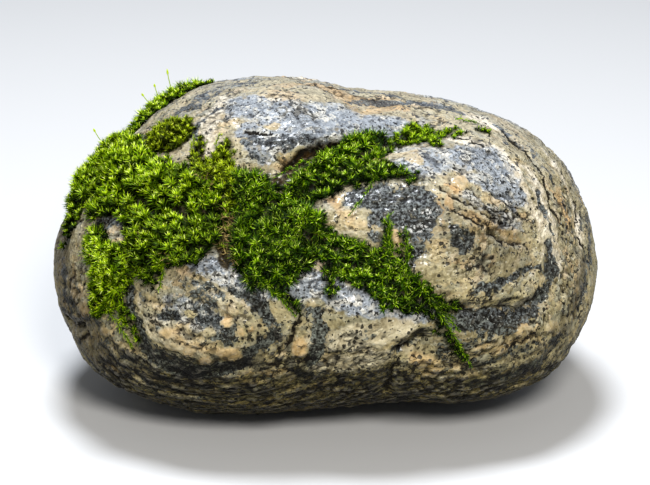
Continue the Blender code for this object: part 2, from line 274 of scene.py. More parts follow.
# Crooked lines on the front, (right, up) in mm. Bands of mineral are (half width, strength, places...)
darkBands = (
    (8.0, 0.56, (-72, 60), (-66, 64), (-60, 68), (-48, 74), (-34, 78)),
    (5.0, 0.8, (-106, 8), (-97, 12), (-88, 13)),
    (5.6, 0.9, (12, 21), (21, 23), (30, 23)),
    (5.2, 0.85, (47, 14), (43, 4), (39, -5)),
    (5.5, 0.9, (22, 13), (32, 12), (40, 11)),
    (3.0, 0.7, (20, 6), (25, 2), (27, -3)),
    (1.7, 0.6, (72, 62), (84, 54), (96, 44), (106, 32), (112, 16), (114, 2)),
    (2.2, 0.5, (116, 34), (121, 22), (120, 8)),
    (2.3, 0.8, (-63, 50), (-58, 57), (-53, 61), (-47, 65)),
    (2.3, 0.6, (-59, 39), (-61, 46), (-63, 50)),
    (3.2, 0.8, (-38, 47), (-29, 46), (-19, 47), (-7, 48), (2, 48)),
    (2.7, 0.6, (-35, 43), (-29, 39), (-24, 36)),
    (4.2, 0.8, (38, 67), (47, 67), (56, 65), (64, 62)),
    (3.3, 0.7, (11, 66), (23, 66), (35, 67)),
    (2.8, 0.6, (-4, 77), (9, 74), (21, 72), (35, 70)),
    (6.8, 0.95, (27, 18), (33, 20), (42, 20), (46, 15), (45, 9)),
    (4.5, 0.9, (39, 4), (40, -2), (38, -8)),
    (4.1, 0.9, (59, 6), (62, 2), (63, -2)),
    (2.3, 0.7, (11, 22), (18, 24), (23, 25)),
    (2.3, 0.9, (96, -9), (91, -12), (84, -16), (77, -19), (71, -20), (65, -19)),
    (3.7, 0.95, (102, 0), (104, -8), (102, -17), (98, -23), (92, -25)),
    (1.8, 0.8, (93, 34), (97, 27), (100, 19), (102, 11), (104, 4)),
    (1.8, 0.6, (84, 37), (87, 34)),
    (5.9, 0.95, (51, -35), (60, -34), (72, -34), (81, -35), (88, -33), (95, -31)),
    (3.6, 0.6, (51, -43), (58, -44), (65, -43), (73, -40)),
    (3.6, 0.7, (53, -45), (53, -51)),
    (3.3, 0.6, (124, 21), (125, 9), (125, -2), (123, -16), (118, -30)),
    (4.2, 0.65, (66, -64), (83, -61), (97, -54), (109, -43)),
    (2.3, 0.6, (69, -53), (82, -51), (94, -46), (102, -39)),
    (3.2, 1, (-90, -18), (-88, -31), (-83, -43), (-78, -51), (-68, -55), (-58, -57), (-49, -57),
     (-37, -52), (-29, -46), (-24, -40), (-26, -30), (-33, -24), (-42, -21)),
    (2.3, 0.8, (-47, -22), (-54, -18), (-61, -17), (-65, -18)),
    (5.4, 1, (-80, -50), (-69, -56), (-57, -58), (-44, -56)),
    (3.2, 0.7, (-73, -32), (-67, -33)),
    (3.6, 0.75, (-57, -33), (-48, -35), (-42, -38), (-44, -42), (-51, -42)),
    (4.4, 0.7, (-60, -22), (-55, -26), (-49, -30)),
    (3.0, 0.55, (-84, -22), (-80, -30)),
    (1.8, 0.7, (-20, -34), (-21, -40), (-23, -46)),
    (3.2, 0.9, (-4, -32), (-2, -39), (-4, -47), (-8, -53)),
    (2.7, 0.7, (-13, -25), (-9, -30), (-3, -30)),
    (3.8, 0.7, (-124, -8), (-123, -21), (-119, -31)),
    (2.8, 0.6, (-109, -25), (-105, -39), (-99, -49)),
    (1.8, 0.8, (-105, -46), (-93, -57), (-76, -66), (-58, -70)),
    (1.8, 0.8, (-95, -48), (-83, -58), (-67, -64), (-51, -66), (-35, -65)),
    (1.8, 0.7, (-39, -58), (-25, -60), (-12, -59), (0, -58)),
    (2.3, 0.8, (-111, -54), (-97, -67), (-78, -74), (-54, -77), (-21, -77), (11, -74)),
    (1.8, 0.7, (2, -64), (16, -63), (27, -60)),
    (3.2, 0.9, (31, -48), (36, -45), (42, -42)),
    (2.2, 0.6, (35, -34), (37, -37)),
    (2.7, 0.5, (18, -38), (23, -42)),
    (1.8, 0.6, (45, 43), (48, 40), (51, 34)),
)
blueBands = (
    (10.5, 0.8, (-40, 64), (-22, 61), (-4, 59), (14, 57), (30, 53), (44, 50)),
    (7.0, 0.7, (-36, 52), (-24, 48), (-8, 50), (6, 51)),
    (7.0, 0.8, (-60, -6), (-42, -14), (-24, -18), (-6, -17), (12, -24), (30, -28), (44, -30)),
    (7.5, 0.7, (24, 34), (36, 36), (50, 38), (66, 40), (80, 34), (88, 22)),
    (6.4, 0.8, (59, 41), (69, 42), (77, 40), (80, 35)),
    (5.5, 0.7, (66, 30), (75, 29), (82, 25), (85, 18)),
    (4.2, 0.8, (-35, 66), (-32, 61), (-29, 58)),
    (4.1, 0.7, (-8, 58), (0, 58), (9, 57), (18, 56)),
    (4.5, 0.6, (-35, 44), (-25, 43), (-29, 39)),
    (5.4, 0.8, (-8, -11), (-4, -18), (4, -23), (15, -27), (26, -29), (38, -28)),
    (5.4, 0.6, (-39, -16), (-29, -21), (-16, -20)),
    (8.0, 0.5, (-70, -27), (-58, -32), (-48, -36)),
    (5.5, 0.5, (64, 22), (74, 16), (88, 7)),
    (3.2, 0.6, (31, 43), (43, 44), (52, 43)),
)
paleBands = (
    (6.5, 0.75, (-46, 68), (-53, 60), (-55, 50), (-50, 42)),
    (5.5, 0.75, (94, 34), (100, 22), (104, 8), (106, -6), (103, -16)),
    (8.0, 0.8, (-4, -44), (10, -42), (24, -40), (36, -37)),
    (7.0, 0.75, (-2, -55), (12, -53), (26, -50)),
    (6.0, 0.6, (-78, -34), (-66, -42), (-52, -42), (-40, -34), (-44, -24), (-60, -22)),
    (4.0, 0.65, (118, 14), (120, 0), (118, -14)),
    (3.7, 0.9, (49, 51), (60, 50), (72, 46), (81, 41), (85, 36), (88, 28), (94, 18), (98, 10), (101, 2)),
    (4.7, 0.9, (65, 61), (72, 59), (80, 55)),
    (3.7, 0.8, (-26, 67), (-17, 65), (-7, 63)),
    (3.2, 0.7, (9, 62), (2, 56), (-12, 54)),
    (4.6, 0.7, (-48, 63), (-52, 55), (-53, 47)),
    (2.3, 0.9, (59, 37), (64, 35), (67, 32)),
    (1.8, 0.8, (98, 7), (100, 0), (96, -9), (93, -16)),
    (2.8, 0.6, (102, 47), (111, 33), (116, 18), (118, 7)),
    (2.7, 0.6, (-84, -25), (-81, -36), (-75, -45), (-66, -48), (-50, -50), (-39, -45)),
)
orangeBands = (
    (6.0, 0.6, (-6, 76), (8, 70), (22, 66), (36, 64)),
    (3.3, 0.5, (2, 72), (9, 66), (16, 61), (24, 62), (32, 64)),
    (3.8, 0.45, (-26, 74), (-17, 75), (-8, 75), (1, 73)),
    (2.3, 0.8, (51, 22), (52, 16), (53, 9)),
    (2.3, 0.8, (55, 28), (59, 26), (61, 23)),
    (3.2, 0.6, (65, 14), (74, 10), (84, 5), (93, 1)),
    (2.3, 0.8, (104, 26), (109, 22), (113, 14), (114, 6)),
    (1.8, 0.8, (62, -29), (67, -29), (72, -29)),
    (4.1, 0.7, (40, -51), (45, -53), (47, -57)),
    (3.6, 0.6, (82, -36), (87, -38), (93, -34)),
    (3.6, 0.55, (70, -45), (82, -46), (93, -41)),
    (2.7, 0.6, (-67, -38), (-65, -44), (-59, -46), (-51, -49), (-41, -47)),
    (1.8, 0.7, (-43, -31), (-42, -32)),
    (3.6, 0.5, (-34, -58), (-19, -58)),
    (3.2, 0.5, (-68, -8), (-61, -12)),
    (2.7, 0.5, (31, 8), (32, 2)),
    (3.6, 0.5, (2, 20), (9, 13), (12, 9)),
    (2.7, 0.4, (25, -66), (6, -67), (-12, -65)),
    (2.3, 0.5, (-118, -8), (-118, -16)),
    (3.6, 0.9, (-19, 38), (-14, 39), (-9, 41)),
)
mineralBands = {"dark": darkBands, "blue": blueBands, "pale": paleBands, "orange": orangeBands}
# The lenses round the back: (how much finer, shift of the noise, where they fade and are full, strength)
backLenses = {
    "dark": (2.0, 73, 0.18, 0.3, 0.9),
    "blue": (1.0, 11, 0.12, 0.3, 0.85),
    "pale": (1.5, 47, 0.12, 0.32, 0.85),
    "orange": (2.4, 29, 0.22, 0.42, 0.55),
}
# Single big feldspar grains: (right, up, half across, half upright, turned, warmth)
bigGrains = (
    (-71.5, -39.7, 4.6, 2.9, 10, 0.8), (-44.1, -34.2, 2.5, 2.3, 0, 1.0), (-37.7, -38.8, 2.2, 2.6, 20, 0.7),
    (-33.0, -37.9, 1.7, 1.6, 0, 1.0), (-43.6, -49.6, 5.6, 3.7, -8, 0.85), (-54.7, -52.6, 3.8, 2.3, 0, 0.9),
    (-69.5, -46.2, 4.4, 2.8, -14, 0.45), (-62.0, -48.4, 3.1, 2.4, 0, 0.7), (-11.9, -46.4, 4.1, 5.6, 8, 1.0),
    (-18.8, -60.0, 5.0, 2.4, 0, 0.4), (-111.8, -29.6, 2.8, 4.6, 0, 0.7), (-101.7, -39.7, 3.2, 2.8, 0, 0.6),
    (61.3, 28.5, 4.0, 3.0, -20, 0.6), (56.4, 19.9, 2.3, 5.6, 8, 0.9),
    (72.2, 13.4, 4.2, 2.2, -25, 0.45), (91.0, 3.2, 7.0, 2.5, -28, 0.35),
    (4.8, 19.3, 3.3, 3.1, 0, 0.8), (15.2, 9.6, 3.8, 3.4, 0, 0.45), (31.1, 2.6, 2.1, 4.4, 6, 0.9),
    (40.4, 39.0, 4.6, 2.9, -12, 0.45), (108.9, 25.8, 2.6, 2.1, -40, 0.7),
    (90.4, -39.7, 4.6, 3.0, 20, 0.6), (46.9, -56.8, 6.2, 4.6, 0, 0.6),
    (103.8, -37.6, 5.6, 2.8, 24, 0.5), (36.9, -69.8, 3.1, 1.7, 0, 0.5),
    (-24.4, 54.6, 4.1, 1.7, 0, 0.4), (-13.4, 41.6, 4.8, 2.4, 28, 0.3),
    (23.5, -44.0, 3.0, 2.6, 0, 0.3), (9.5, -50.5, 3.6, 2.6, 12, 0.25), (37.5, -47.5, 3.4, 2.4, 30, 0.35),
    (-1.5, -63.0, 3.6, 2.0, 0, 0.5), (-35.0, -62.5, 4.6, 2.2, 0, 0.45), (75.0, -46.5, 4.0, 2.3, 12, 0.5),
    (64.0, -52.0, 3.2, 2.2, 10, 0.35), (-60.5, -30.5, 2.6, 2.0, 0, 0.25), (-52.5, -39.5, 2.9, 2.2, 0, 0.3),
    (-79.5, -28.5, 2.8, 3.2, 0, 0.2), (-25.5, -53.5, 3.0, 2.1, 30, 0.25), (-4.5, -26.0, 3.0, 2.0, 10, 0.25),
)
# Where the rounded grains show, and where the stone takes a brownish painted shade, both given as the bands
# are
grainyPlaces = (
    (13.0, 1.0, (-74, -34), (-58, -36), (-42, -34)),
    (11.0, 0.9, (-16, -48), (0, -50), (18, -50)),
    (6.0, 0.35, (60, 12), (74, 6), (88, -2)),
    (9.0, 0.8, (50, -56), (66, -52), (86, -44), (102, -34)),
    (7.0, 0.7, (112, 24), (116, 6), (116, -12)),
    (8.0, 0.7, (-104, -30), (-98, -44), (-86, -56)),
    (7.0, 1.0, (-22, 33), (-8, 40), (6, 45)),
)
# painted shade, brownish: the overhang under the crown, creases, and the flanks that get less light
shadePlaces = (
    (4.2, 1, (-20, 34), (-13, 38), (-4, 42), (8, 46)),
    (3.2, 1, (-24, 28), (-14, 32), (-4, 37), (6, 41)),
    (3.5, 1, (-46, 6), (-45, -3), (-46, -9)),
    (15.0, 0.6, (-124, 16), (-126, 0), (-123, -20), (-114, -40), (-98, -58)),
    (8.0, 0.5, (-110, -30), (-102, -44), (-90, -56), (-72, -64), (-50, -68)),
    (7.0, 0.5, (122, -8), (114, -34), (102, -50)),
    (20.0, 0.42, (58, 10), (72, 5), (84, -6)),
    (6.5, 0.4, (-86, -46), (-68, -55), (-44, -54), (-30, -46)),
    (2.3, 0.9, (-19, 30), (-16, 25)),
    (2.7, 0.9, (-51, 22), (-46, 16), (-42, 7), (-44, 0)),
    (2.2, 0.9, (-6, 3), (-3, -3)),
    (2.3, 0.8, (31, -48), (35, -46), (41, -42)),
)
# Cracks are (half width, depth, rise of the upper lip, side, places...)
cracks = (
    (0.9, 1.6, 0.0, "front", (-13, -28), (-13, -33), (-14, -36), (-16, -42), (-19, -47), (-23, -51)),
    (1.0, 1.8, 0.7, "front", (58, -27), (65, -30), (74, -27), (84, -28), (89, -26), (98, -22)),
    (1.3, 2.4, 0.8, "front", (31, -48), (34, -46), (39, -44), (46, -41)),
    (1.1, 2.0, 0.0, "front", (34, -48), (32, -54), (30, -59), (29, -66), (26, -69)),
    (0.8, 1.9, -0.8, "front", (47, 28), (52, 26), (59, 22), (64, 18), (72, 14), (79, 10), (89, 6)),
    (0.8, 1.9, -0.8, "front", (53, 18), (61, 14), (67, 10), (73, 5), (84, 0), (93, -2)),
    (0.7, 1.3, -0.5, "front", (62, 27), (68, 22), (76, 16), (84, 13)),
    (0.7, 1.3, -0.5, "front", (70, 30), (78, 22), (86, 16), (94, 9)),
    (1.0, 1.5, 0.4, "front", (82, 56), (88, 50), (94, 44), (97, 38), (100, 33), (103, 25), (104, 17),
     (107, 11), (110, 6)),
    (1.2, 1.6, 0.0, "front", (117, 23), (118, 14), (117, 6), (120, -1), (124, -5)),
    (0.8, 1.0, 0.2, "front", (-38, 52), (-35, 51), (-29, 50), (-23, 51)),
    (1.1, 1.5, 0.9, "front", (-21, 36), (-16, 39), (-10, 42), (-3, 45), (6, 47)),
    (1.1, 1.6, 0.6, "front", (-123, -34), (-117, -36), (-111, -38)),
    (0.9, 1.1, 0.0, "front", (-111, -38), (-112, -42), (-116, -46)),
    (0.8, 0.9, 0.2, "front", (-90, -49), (-80, -55), (-70, -61), (-57, -63)),
    (0.8, 0.7, 0.2, "front", (-81, -62), (-67, -68), (-49, -70), (-30, -69)),
    (0.8, 0.7, 0.2, "front", (60, 50), (67, 49), (73, 44)),
    (0.8, 0.6, 0.0, "front", (-29, -52), (-21, -55), (-12, -53), (-5, -49)),
    (0.8, 0.7, 0.1, "front", (82, -48), (91, -43), (98, -37)),
    (1.4, 1.8, 0.4, "back", (-92, 22), (-60, 14), (-20, 19), (22, 8), (66, 14)),
    (1.2, 2.0, 0.0, "back", (-8, 16), (4, -10), (-2, -36)),
    (1.0, 1.5, 0.0, "back", (58, -8), (74, -26), (82, -44)),
    (1.0, 0.9, 0.6, "back", (96, 6), (60, -12), (20, -8), (-14, -14), (-56, -22)),
)
# The bands run round these eyes: (side, right, up), their reach right, up and in, and that reach in mm
# of band
eyes = (
    (("front", -57, -37), (34, 20, 30), 22),
    (("front", 56, 6), (46, 38, 40), 38),
    (("back", -38, 10), (52, 36, 40), 34),
    (("back", 66, -20), (34, 30, 30), 26),
)


def netAround(cells, gather):
    # a square net on each side of a cube, pushed out to a ball: directions, faces and their map
    ticks = np.tan(np.linspace(-1, 1, cells + 1) * math.pi / 4)
    ticks[0], ticks[-1] = -1, 1
    a, b = np.meshgrid(np.arange(cells + 1), np.arange(cells + 1), indexing="ij")
    u, v = ticks[a].ravel(), ticks[b].ravel()
    one = np.ones_like(u)
    squares = (np.column_stack((one, u, v)), np.column_stack((-one, v, u)), np.column_stack((v, one, u)),
               np.column_stack((u, -one, v)), np.column_stack((u, v, one)), np.column_stack((v, u, -one)))
    every = np.concatenate(squares)
    _, first, index = np.unique(np.round(every * 1e6).astype(np.int64), axis=0, return_index=True,
                                return_inverse=True)
    index = index.ravel()
    corner = (np.arange(cells)[:, None] * (cells + 1) + np.arange(cells)[None]).ravel()
    quad = np.stack((corner, corner + cells + 1, corner + cells + 2, corner + 1), 1)
    faces = np.concatenate([index[quad + k * (cells + 1) ** 2] for k in range(6)])
    flat = np.stack((a.ravel(), b.ravel()), 1) / cells * 0.972 + 0.014
    tiles = [(flat + (k % 3, k // 3)) / (3, 2) for k in range(6)]
    uv = np.concatenate([tile[quad] for tile in tiles])
    directions = every[first] / np.linalg.norm(every[first], axis=1)[:, None]
    directions[:, 2] += gather
    return directions, faces, uv


def neighbourBlur(values, faces, rounds):
    a = faces.ravel()
    b = np.roll(faces, -1, axis=1).ravel()
    count = np.bincount(np.concatenate((a, b)), minlength=len(values))
    for _ in range(rounds):
        total = np.bincount(a, values[b], len(values)) + np.bincount(b, values[a], len(values))
        values = 0.5 * values + 0.5 * total / count
    return values


def painted(points, bands):
    # how strongly the bands lie on each point, 0 to 1
    best = np.zeros(len(points))
    for half, strength, *places in bands:
        line = lineOnStone("front", places)
        near = nearTo(points, line, half * 2.2)
        far, _, along = fromLine(points[near], line)
        ends = half * (0.75 + 0.25 * soft(np.minimum(along, 1 - along), 0, 0.25))
        best[near] = np.maximum(best[near], strength * (1 - soft(far, ends * 0.45, ends * 1.55)))
    return best


def bandField(points):
    # a height that climbs away from the eyes, so that its contours are the stone's bands
    field = np.zeros(len(points))
    for place, reach, wide in eyes:
        middle = onStone(*place)
        away = (points - middle) @ faceAxes.T / reach
        field += np.exp(-np.linalg.norm(away, axis=1) * wide / stone["bandGap"])
    return -stone["bandGap"] * np.log(field)


def buildStone():
    directions, faces, uv = netAround(stone["cells"], stone["towardsFront"])
    directions = directions * stone["half"]
    directions = (directions / np.linalg.norm(directions, axis=1)[:, None]) @ faceAxes
    outside = 300
    fall = [stoneTree.ray_cast(Vector(centre + d * outside), Vector(-d))[3] for d in directions]
    reach = outside - np.array(fall)
    foot = centre[2] + reach * directions[:, 2] < 0.4  # stays flat on the floor
    reach = neighbourBlur(reach, faces, stone["blur"])
    points = centre + directions * reach[:, None]
    print("stone net:", len(points), "points")

    wander = strays(points, 9.0, 0, 211, 523) * 3.0 + 1.7 * strays(points, 3.6, 71, 311, 907)
    strayed = points + wander
    jitter = 1.1 * strays(points, 2.2, 13, 401, 77)
    uneven = np.clip(0.85 + 1.1 * lumps(points, 7.0, 313), 0.15, 1.3)
    frontness = soft((points - centre) @ faceAxes[2], -6, 26)
    laid = {kind: painted(strayed, bands) for kind, bands in mineralBands.items()}
    damp = painted(strayed, shadePlaces)
    bands = bandField(points) + 3.4 * lumps(points, 24.0, 37) + 1.3 * lumps(points, 8.0, 5)
    print("bands laid")

    rise = stone["wave"][1] * lumps(points, stone["wave"][0], 17)
    rise += stone["rough"][1] * lumps(points, stone["rough"][0], 29)
    grit = np.abs(lumps(points, stone["grit"][0], 43))
    rise += stone["grit"][1] * (0.25 - grit) * 1.6
    streak = np.column_stack((bands * 0.55, points[:, 0] * 0.06, points[:, 1:].sum(1) * 0.05))
    ridge = lumps(streak, 1.0)
    lowDown = soft(-(points - centre)[:, 2], 18, 48)
    sideways = 1 - frontness
    patchy = soft(lumps(points, 30.0, 151), -0.15, 0.3)
    rise += stone["ridges"] * ridge * (0.14 + 0.8 * np.maximum(lowDown, sideways * 0.7 * patchy))
    # round the back the same minerals lie in long lenses
    lens = np.column_stack((bands * 0.05, points[:, 0] * 0.019, points[:, 1:].sum(1) * 0.02))
    lens = lens + 0.05 * wander
    for kind, (finer, shift, low, high, strength) in backLenses.items():
        lenses = sideways * soft(lumps(lens * finer, 1.0, shift), low, high) * strength
        laid[kind] = np.maximum(laid[kind], lenses)
    dark, blue, pale, orange = (laid[kind] for kind in mineralBands)
    size, depth = stone["pits"]
    pit = np.zeros(len(points))
    for k, p in enumerate(points / size):
        near = noise.voronoi(Vector(p))[0][0]
        pit[k] = max(0.0, 1 - near / 0.34)
    rise -= depth * pit**1.2 * soft(lumps(points, 17.0, 61), -0.05, 0.35)
    size, height = stone["grains"]
    near = np.array([noise.voronoi(Vector(p))[0][:2] for p in (points + wander * 0.35) / size])
    seam = 1 - soft(near[:, 1] - near[:, 0], 0.03, 0.3)
    coarse = np.maximum(painted(strayed, grainyPlaces), 0.8 * soft(lumps(points, 21.0, 83), 0.0, 0.35))
    coarse = np.clip(coarse + 0.6 * orange, 0, 1)
    coarse *= 1 - np.clip(dark * 1.3, 0, 1)
    rise += height * coarse * (0.75 - 1.3 * near[:, 0] ** 2 - seam * 0.8)
    crack = np.zeros(len(points))
    grain = np.zeros(len(points))
    split = np.zeros(len(points))   # how near a crack's line is
    offset = np.full(len(points), 4.0)  # and how far it lies to either side, mm
    wobble = wander * 0.3 + jitter * 0.6
    for right, up, wide, tall, turned, warm in bigGrains:
        middle = onStone("front", right, up)
        tilt = math.radians(turned)
        along = (faceAxes[0] * math.cos(tilt) + faceAxes[1] * math.sin(tilt)) / wide
        upright = (faceAxes[1] * math.cos(tilt) - faceAxes[0] * math.sin(tilt)) / tall
        near = nearTo(points, middle[None], wide + tall + 3)
        away = points[near] + wobble[near] - middle
        far = ((away @ along) ** 2 + (away @ upright) ** 2 + (away @ faceAxes[2] / 9) ** 2) ** 0.5
        inside = 1 - soft(far, 0.72, 1.18)
        rise[near] += np.sqrt(np.clip(1 - far**2, 0, 1)) * min(wide, tall) * stone["bigGrain"]
        orange[near] = orange[near] * (1 - inside) + warm * 0.8 * inside
        dark[near] *= 1 - inside
        blue[near] *= 1 - inside
        coarse[near] *= 1 - inside
        grain[near] = np.maximum(grain[near], inside)
        rim = np.exp(-(((far - 1.14) * min(wide, tall) / 0.7) ** 2))
        rise[near] -= 0.22 * rim
        crack[near] = np.maximum(crack[near], rim * 0.34 * uneven[near])
    rise += 0.28 * pale + 0.2 * orange - 0.35 * dark - 0.6 * damp

    for half, deep, lip, side, *places in cracks:
        line = lineOnStone(side, places)
        near = nearTo(strayed, line, 9.0)
        far, above, along = fromLine(points[near] + wander[near] * 0.6 + jitter[near], line)
        ends = soft(np.minimum(along, 1 - along), 0, 0.16)
        groove = np.exp(-((far / half) ** 1.5)) * ends * uneven[near]
        rise[near] -= deep * groove
        rise[near] += lip * above * np.tanh(far / 0.7) * np.exp(-((far / 5.5) ** 2)) * ends
        crack[near] = np.maximum(crack[near], groove * min(1, deep / 1.2))
        close = np.exp(-((far / 3.2) ** 2)) * ends * min(1, 0.5 + deep / 3)
        nearer = close > split[near]
        split[near[nearer]] = close[nearer]
        offset[near[nearer]] = np.clip(far * above, -4, 4)[nearer]

    rise[foot] = 0
    points = points + directions * rise[:, None]
    points[:, 2] = np.where(foot, 0, np.maximum(points[:, 2], 0.15))
    hollow = np.clip((neighbourBlur(rise, faces, 8) - rise) / 0.5, -1, 1)

    pads = [meshOf(node) for name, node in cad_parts.items() if name.startswith("moss")]
    starts = np.cumsum([0] + [len(p) for p, _ in pads])
    padTree = BVHTree.FromPolygons(np.concatenate([p for p, _ in pads]).tolist(),
                                   np.concatenate([f + s for (_, f), s in zip(pads, starts)]).tolist())
    most = stone["mossShade"]
    moss = np.array([padTree.find_nearest(Vector(p), most)[3] or most for p in points])
    return newPiece("stone_surface", points, faces, uv, {
        "dark": dark, "blue": blue, "pale": pale, "orange": orange, "damp": damp, "crack": crack,
        "bands": bands, "hollow": hollow, "moss": 1 - moss / most, "wild": sideways, "seam": seam * coarse,
        "coarse": coarse, "grain": grain, "split": split, "offset": offset,
    })


# The finish of the stone. Two colours are the ends between which each grain has its own shade
gneiss = {
    "crystal": 3.4,      # size of the crystals, mm
    "pitSpacing": 2.9,
    "feldspar": (screen(98, 88, 62), screen(190, 179, 145)),
    "greyFeldspar": screen(138, 138, 126),
    "warmFeldspar": screen(186, 158, 120),
    "stain": (screen(146, 122, 80), screen(188, 166, 120)),
    "pale": (screen(172, 160, 136), screen(224, 215, 196)),
    "orange": (screen(158, 128, 86), screen(214, 184, 138)),
    "orangeOnTop": screen(214, 194, 160),
    "quartz": (screen(98, 104, 110), screen(160, 165, 169)),
    "creamQuartz": (screen(152, 151, 144), screen(204, 200, 188)),
    "dark": (screen(11, 13, 14), screen(114, 120, 120)),
    "shades": ((0.38, 0.375, 0.35, 1), (1.38, 1.39, 1.42, 1)),  # multiplies every grain
    # black mica, and painted shade in pits and between crystals
    "micaAndShade": screen(15, 14, 10),
    # painted glint: near-white specks in the colour
    "glint": screen(212, 213, 208),
    # olive brown and painted shade: multiplies what faces down
    "oliveAndShadeBelow": ((0.014, 0.013, 0.004, 1), (0.33, 0.31, 0.185, 1)),  # multiplies what faces down
    # painted cool reflection of the sky on what faces up
    "skyReflection": screen(176, 184, 202),
    "yellowed": screen(254, 252, 233),
    # brownish painted shade
    "damp": screen(84, 72, 50),
    # dirt and painted shade in hollows and cracks
    "dirtAndShade": screen(20, 16, 9),
    "rubbed": screen(235, 226, 200),
    # painted shade round the moss: olive with algae near it, darker under it
    "shadeByTheMoss": (screen(54, 54, 24), screen(16, 16, 6)),  # near it and under it
    "specular": 0.09,
    "gleam": 0.5,        # wet coat on some crystals that face up
    "coatRoughness": 0.2,
    "bump": 1.4 * mm,    # how far a height of 1 stands out
}


def stoneMaterial():
    made, shader, tap = newMaterial("gneiss")
    spot = tap.node("ShaderNodeTexCoord", out="Object").scaled(1000.0)
    bands = tap.attribute("bands")
    wild = tap.attribute("wild")
    hollow = tap.attribute("hollow")
    crack = tap.attribute("crack")
    up = tap.node("ShaderNodeNewGeometry", out="Normal").part(2)
    # what faces down, where the colour takes painted shade
    low = (up * -1).step(-0.08, 0.6) * (1 - tap.attribute("pale") * 0.6)
    own = wild.most(low * 0.8)
    patches = spot.ripple(14.0, 2, 0.5)
    broken = spot.shifted((9.0, 40.0, 17.0)).ripple(5.5, 2, 0.55)
    frayed = spot.ripple(2.5, 1.6, 0.6)
    salt = spot.shifted((31.0, 7.0, 53.0)).ripple(1.35, 0.7, 0.5)
    # crystals, drawn out a little along the bands
    x, y, z = (spot.part(k) for k in range(3))
    drawnOut = tap.vector(bands * 0.8 + x * 0.5, y * 0.85, z * 0.85)
    crystalSpot = drawnOut.shifted(spot.clouds(2.0, 2, out="Color").scaled(3.0))
    crystal = crystalSpot.cells(gneiss["crystal"], out="Color")
    crystalEdge = crystalSpot.cells(gneiss["crystal"], "DISTANCE_TO_EDGE")
    crystalA, crystalB, crystalC = (crystal.part(k) for k in range(3))
    # thin layers along the bands, and black flakes lying in them
    layers = tap.vector(bands * 0.34, x * 0.045, (y + z) * 0.04).ripple(1.0, 3, 0.6)
    fineLayers = tap.vector(bands * 0.6, x * 0.2, (y + z) * 0.18).ripple(1.0, 2, 0.6)
    flakes = tap.vector(bands * 0.75 + salt * 0.12, x * 0.4 + 9.0, (y + z) * 0.38).ripple(1.0, 1.2, 0.5)

    fray = frayed * 0.6 + broken * 0.5
    grain = tap.attribute("grain")
    darkness = (tap.attribute("dark") + fray * 0.4 + salt * 0.2 + (crystalA - 0.5) * 0.3).step(0.3, 0.64)
    darkness = darkness.most((layers + fray * 0.35).step(0.3, 0.5) * own * 0.95)
    darkness = darkness.most((fineLayers + fray * 0.3 + patches * 0.2).step(0.55, 0.75) * (own * 0.6 + 0.03))
    darkness = darkness.most((broken + frayed * 0.4 - patches * 0.3).step(1.0, 1.2) * 0.7) * (1 - grain)
    blue = (tap.attribute("blue") + fray * 0.3).step(0.2, 0.65)
    pale = (tap.attribute("pale") + fray * 0.22 + patches * 0.25).step(0.2, 0.85)
    orange = (tap.attribute("orange") + fray * 0.16).step(0.12, 0.95)
    stain = (patches + broken * 0.5 + frayed * 0.2).step(0.35, 1.0) * 0.5
    rugged = darkness.most(low * 0.8)
    coarse = tap.attribute("coarse")
    grainy = coarse.most(low * 0.7) * 0.7 + 0.3

    # feldspar, every grain a shade of its own
    mottle = patches * 0.14 + broken * 0.2 + frayed * 0.16 + salt * 0.1
    mottle = mottle + (crystalA - 0.5) * 0.8 * grainy + 0.52
    colour = mottle.blend(*gneiss["feldspar"])
    colour = (crystalB.step(0.6, 0.72) * (grainy * 0.4 + 0.3)).blend(colour, gneiss["greyFeldspar"])
    colour = (crystalC.step(0.66, 0.78) * grainy * (0.5 - low * 0.4)).blend(colour, gneiss["warmFeldspar"])
    stained = (crystalB + frayed * 0.15).blend(*gneiss["stain"])
    colour = (stain * (1 - low * 0.8)).blend(colour, stained)
    paleGrain = (crystalB * 0.7 + frayed * 0.15 + broken * 0.25).blend(*gneiss["pale"])
    colour = pale.blend(colour, paleGrain)
    orangeGrain = (broken * 0.2 + frayed * 0.15 + salt * 0.08 + 0.5).blend(*gneiss["orange"])
    colour = orange.blend(colour, orangeGrain)
    # blue-grey quartz in blotches between cream ones
    blueGrain = (salt * 0.3 + frayed * 0.35 + (crystalA - 0.5) * 0.4 + 0.5).blend(*gneiss["quartz"])
    creamGrain = (crystalB * 0.6 + frayed * 0.3 + 0.2).blend(*gneiss["creamQuartz"])
    blotch = (broken + patches * 0.5 + frayed * 0.25).step(-0.05, 0.5)
    colour = blue.blend(colour, blotch.blend(blueGrain, creamGrain))
    greyed = salt * 0.6 + frayed * 0.32 + broken * 0.12 + (crystalC - 0.5) * 0.5 + 0.3
    colour = (darkness * 0.97).blend(colour, greyed.blend(*gneiss["dark"]))
    shade = salt * 0.2 + (crystalC - 0.5) * 0.5 * grainy + frayed * 0.15
    shade = shade * (rugged * 0.5 + 0.6) * (1 - grain * 0.6) * (1 - blue * 0.3) + 0.55
    colour = colour.tinted(shade.blend(*gneiss["shades"]))
    # pits where the black mica weathered out, in crowds and rows, dark with painted shade
    pitSpot = spot.shifted((5.0, 17.0, 41.0)).shifted(spot.clouds(1.7, 1, out="Color").scaled(1.6))
    pitKind = pitSpot.cells(gneiss["pitSpacing"], out="Color")
    crowd = broken * 0.35 + patches * 0.3 + frayed * 0.15 + coarse * 0.35 + low * 0.25 - orange * 0.3
    crowd = crowd + blue * 0.12 - pale * 0.04 - grain * 0.6
    pits = pitKind.part(0) * 0.22 + 0.17 + crowd * 0.07 - pitSpot.cells(gneiss["pitSpacing"])
    pits = pits.step(0.0, 0.07)
    pits = pits * (pitKind.part(1) + crowd + coarse * 0.25).step(0.52, 0.57)
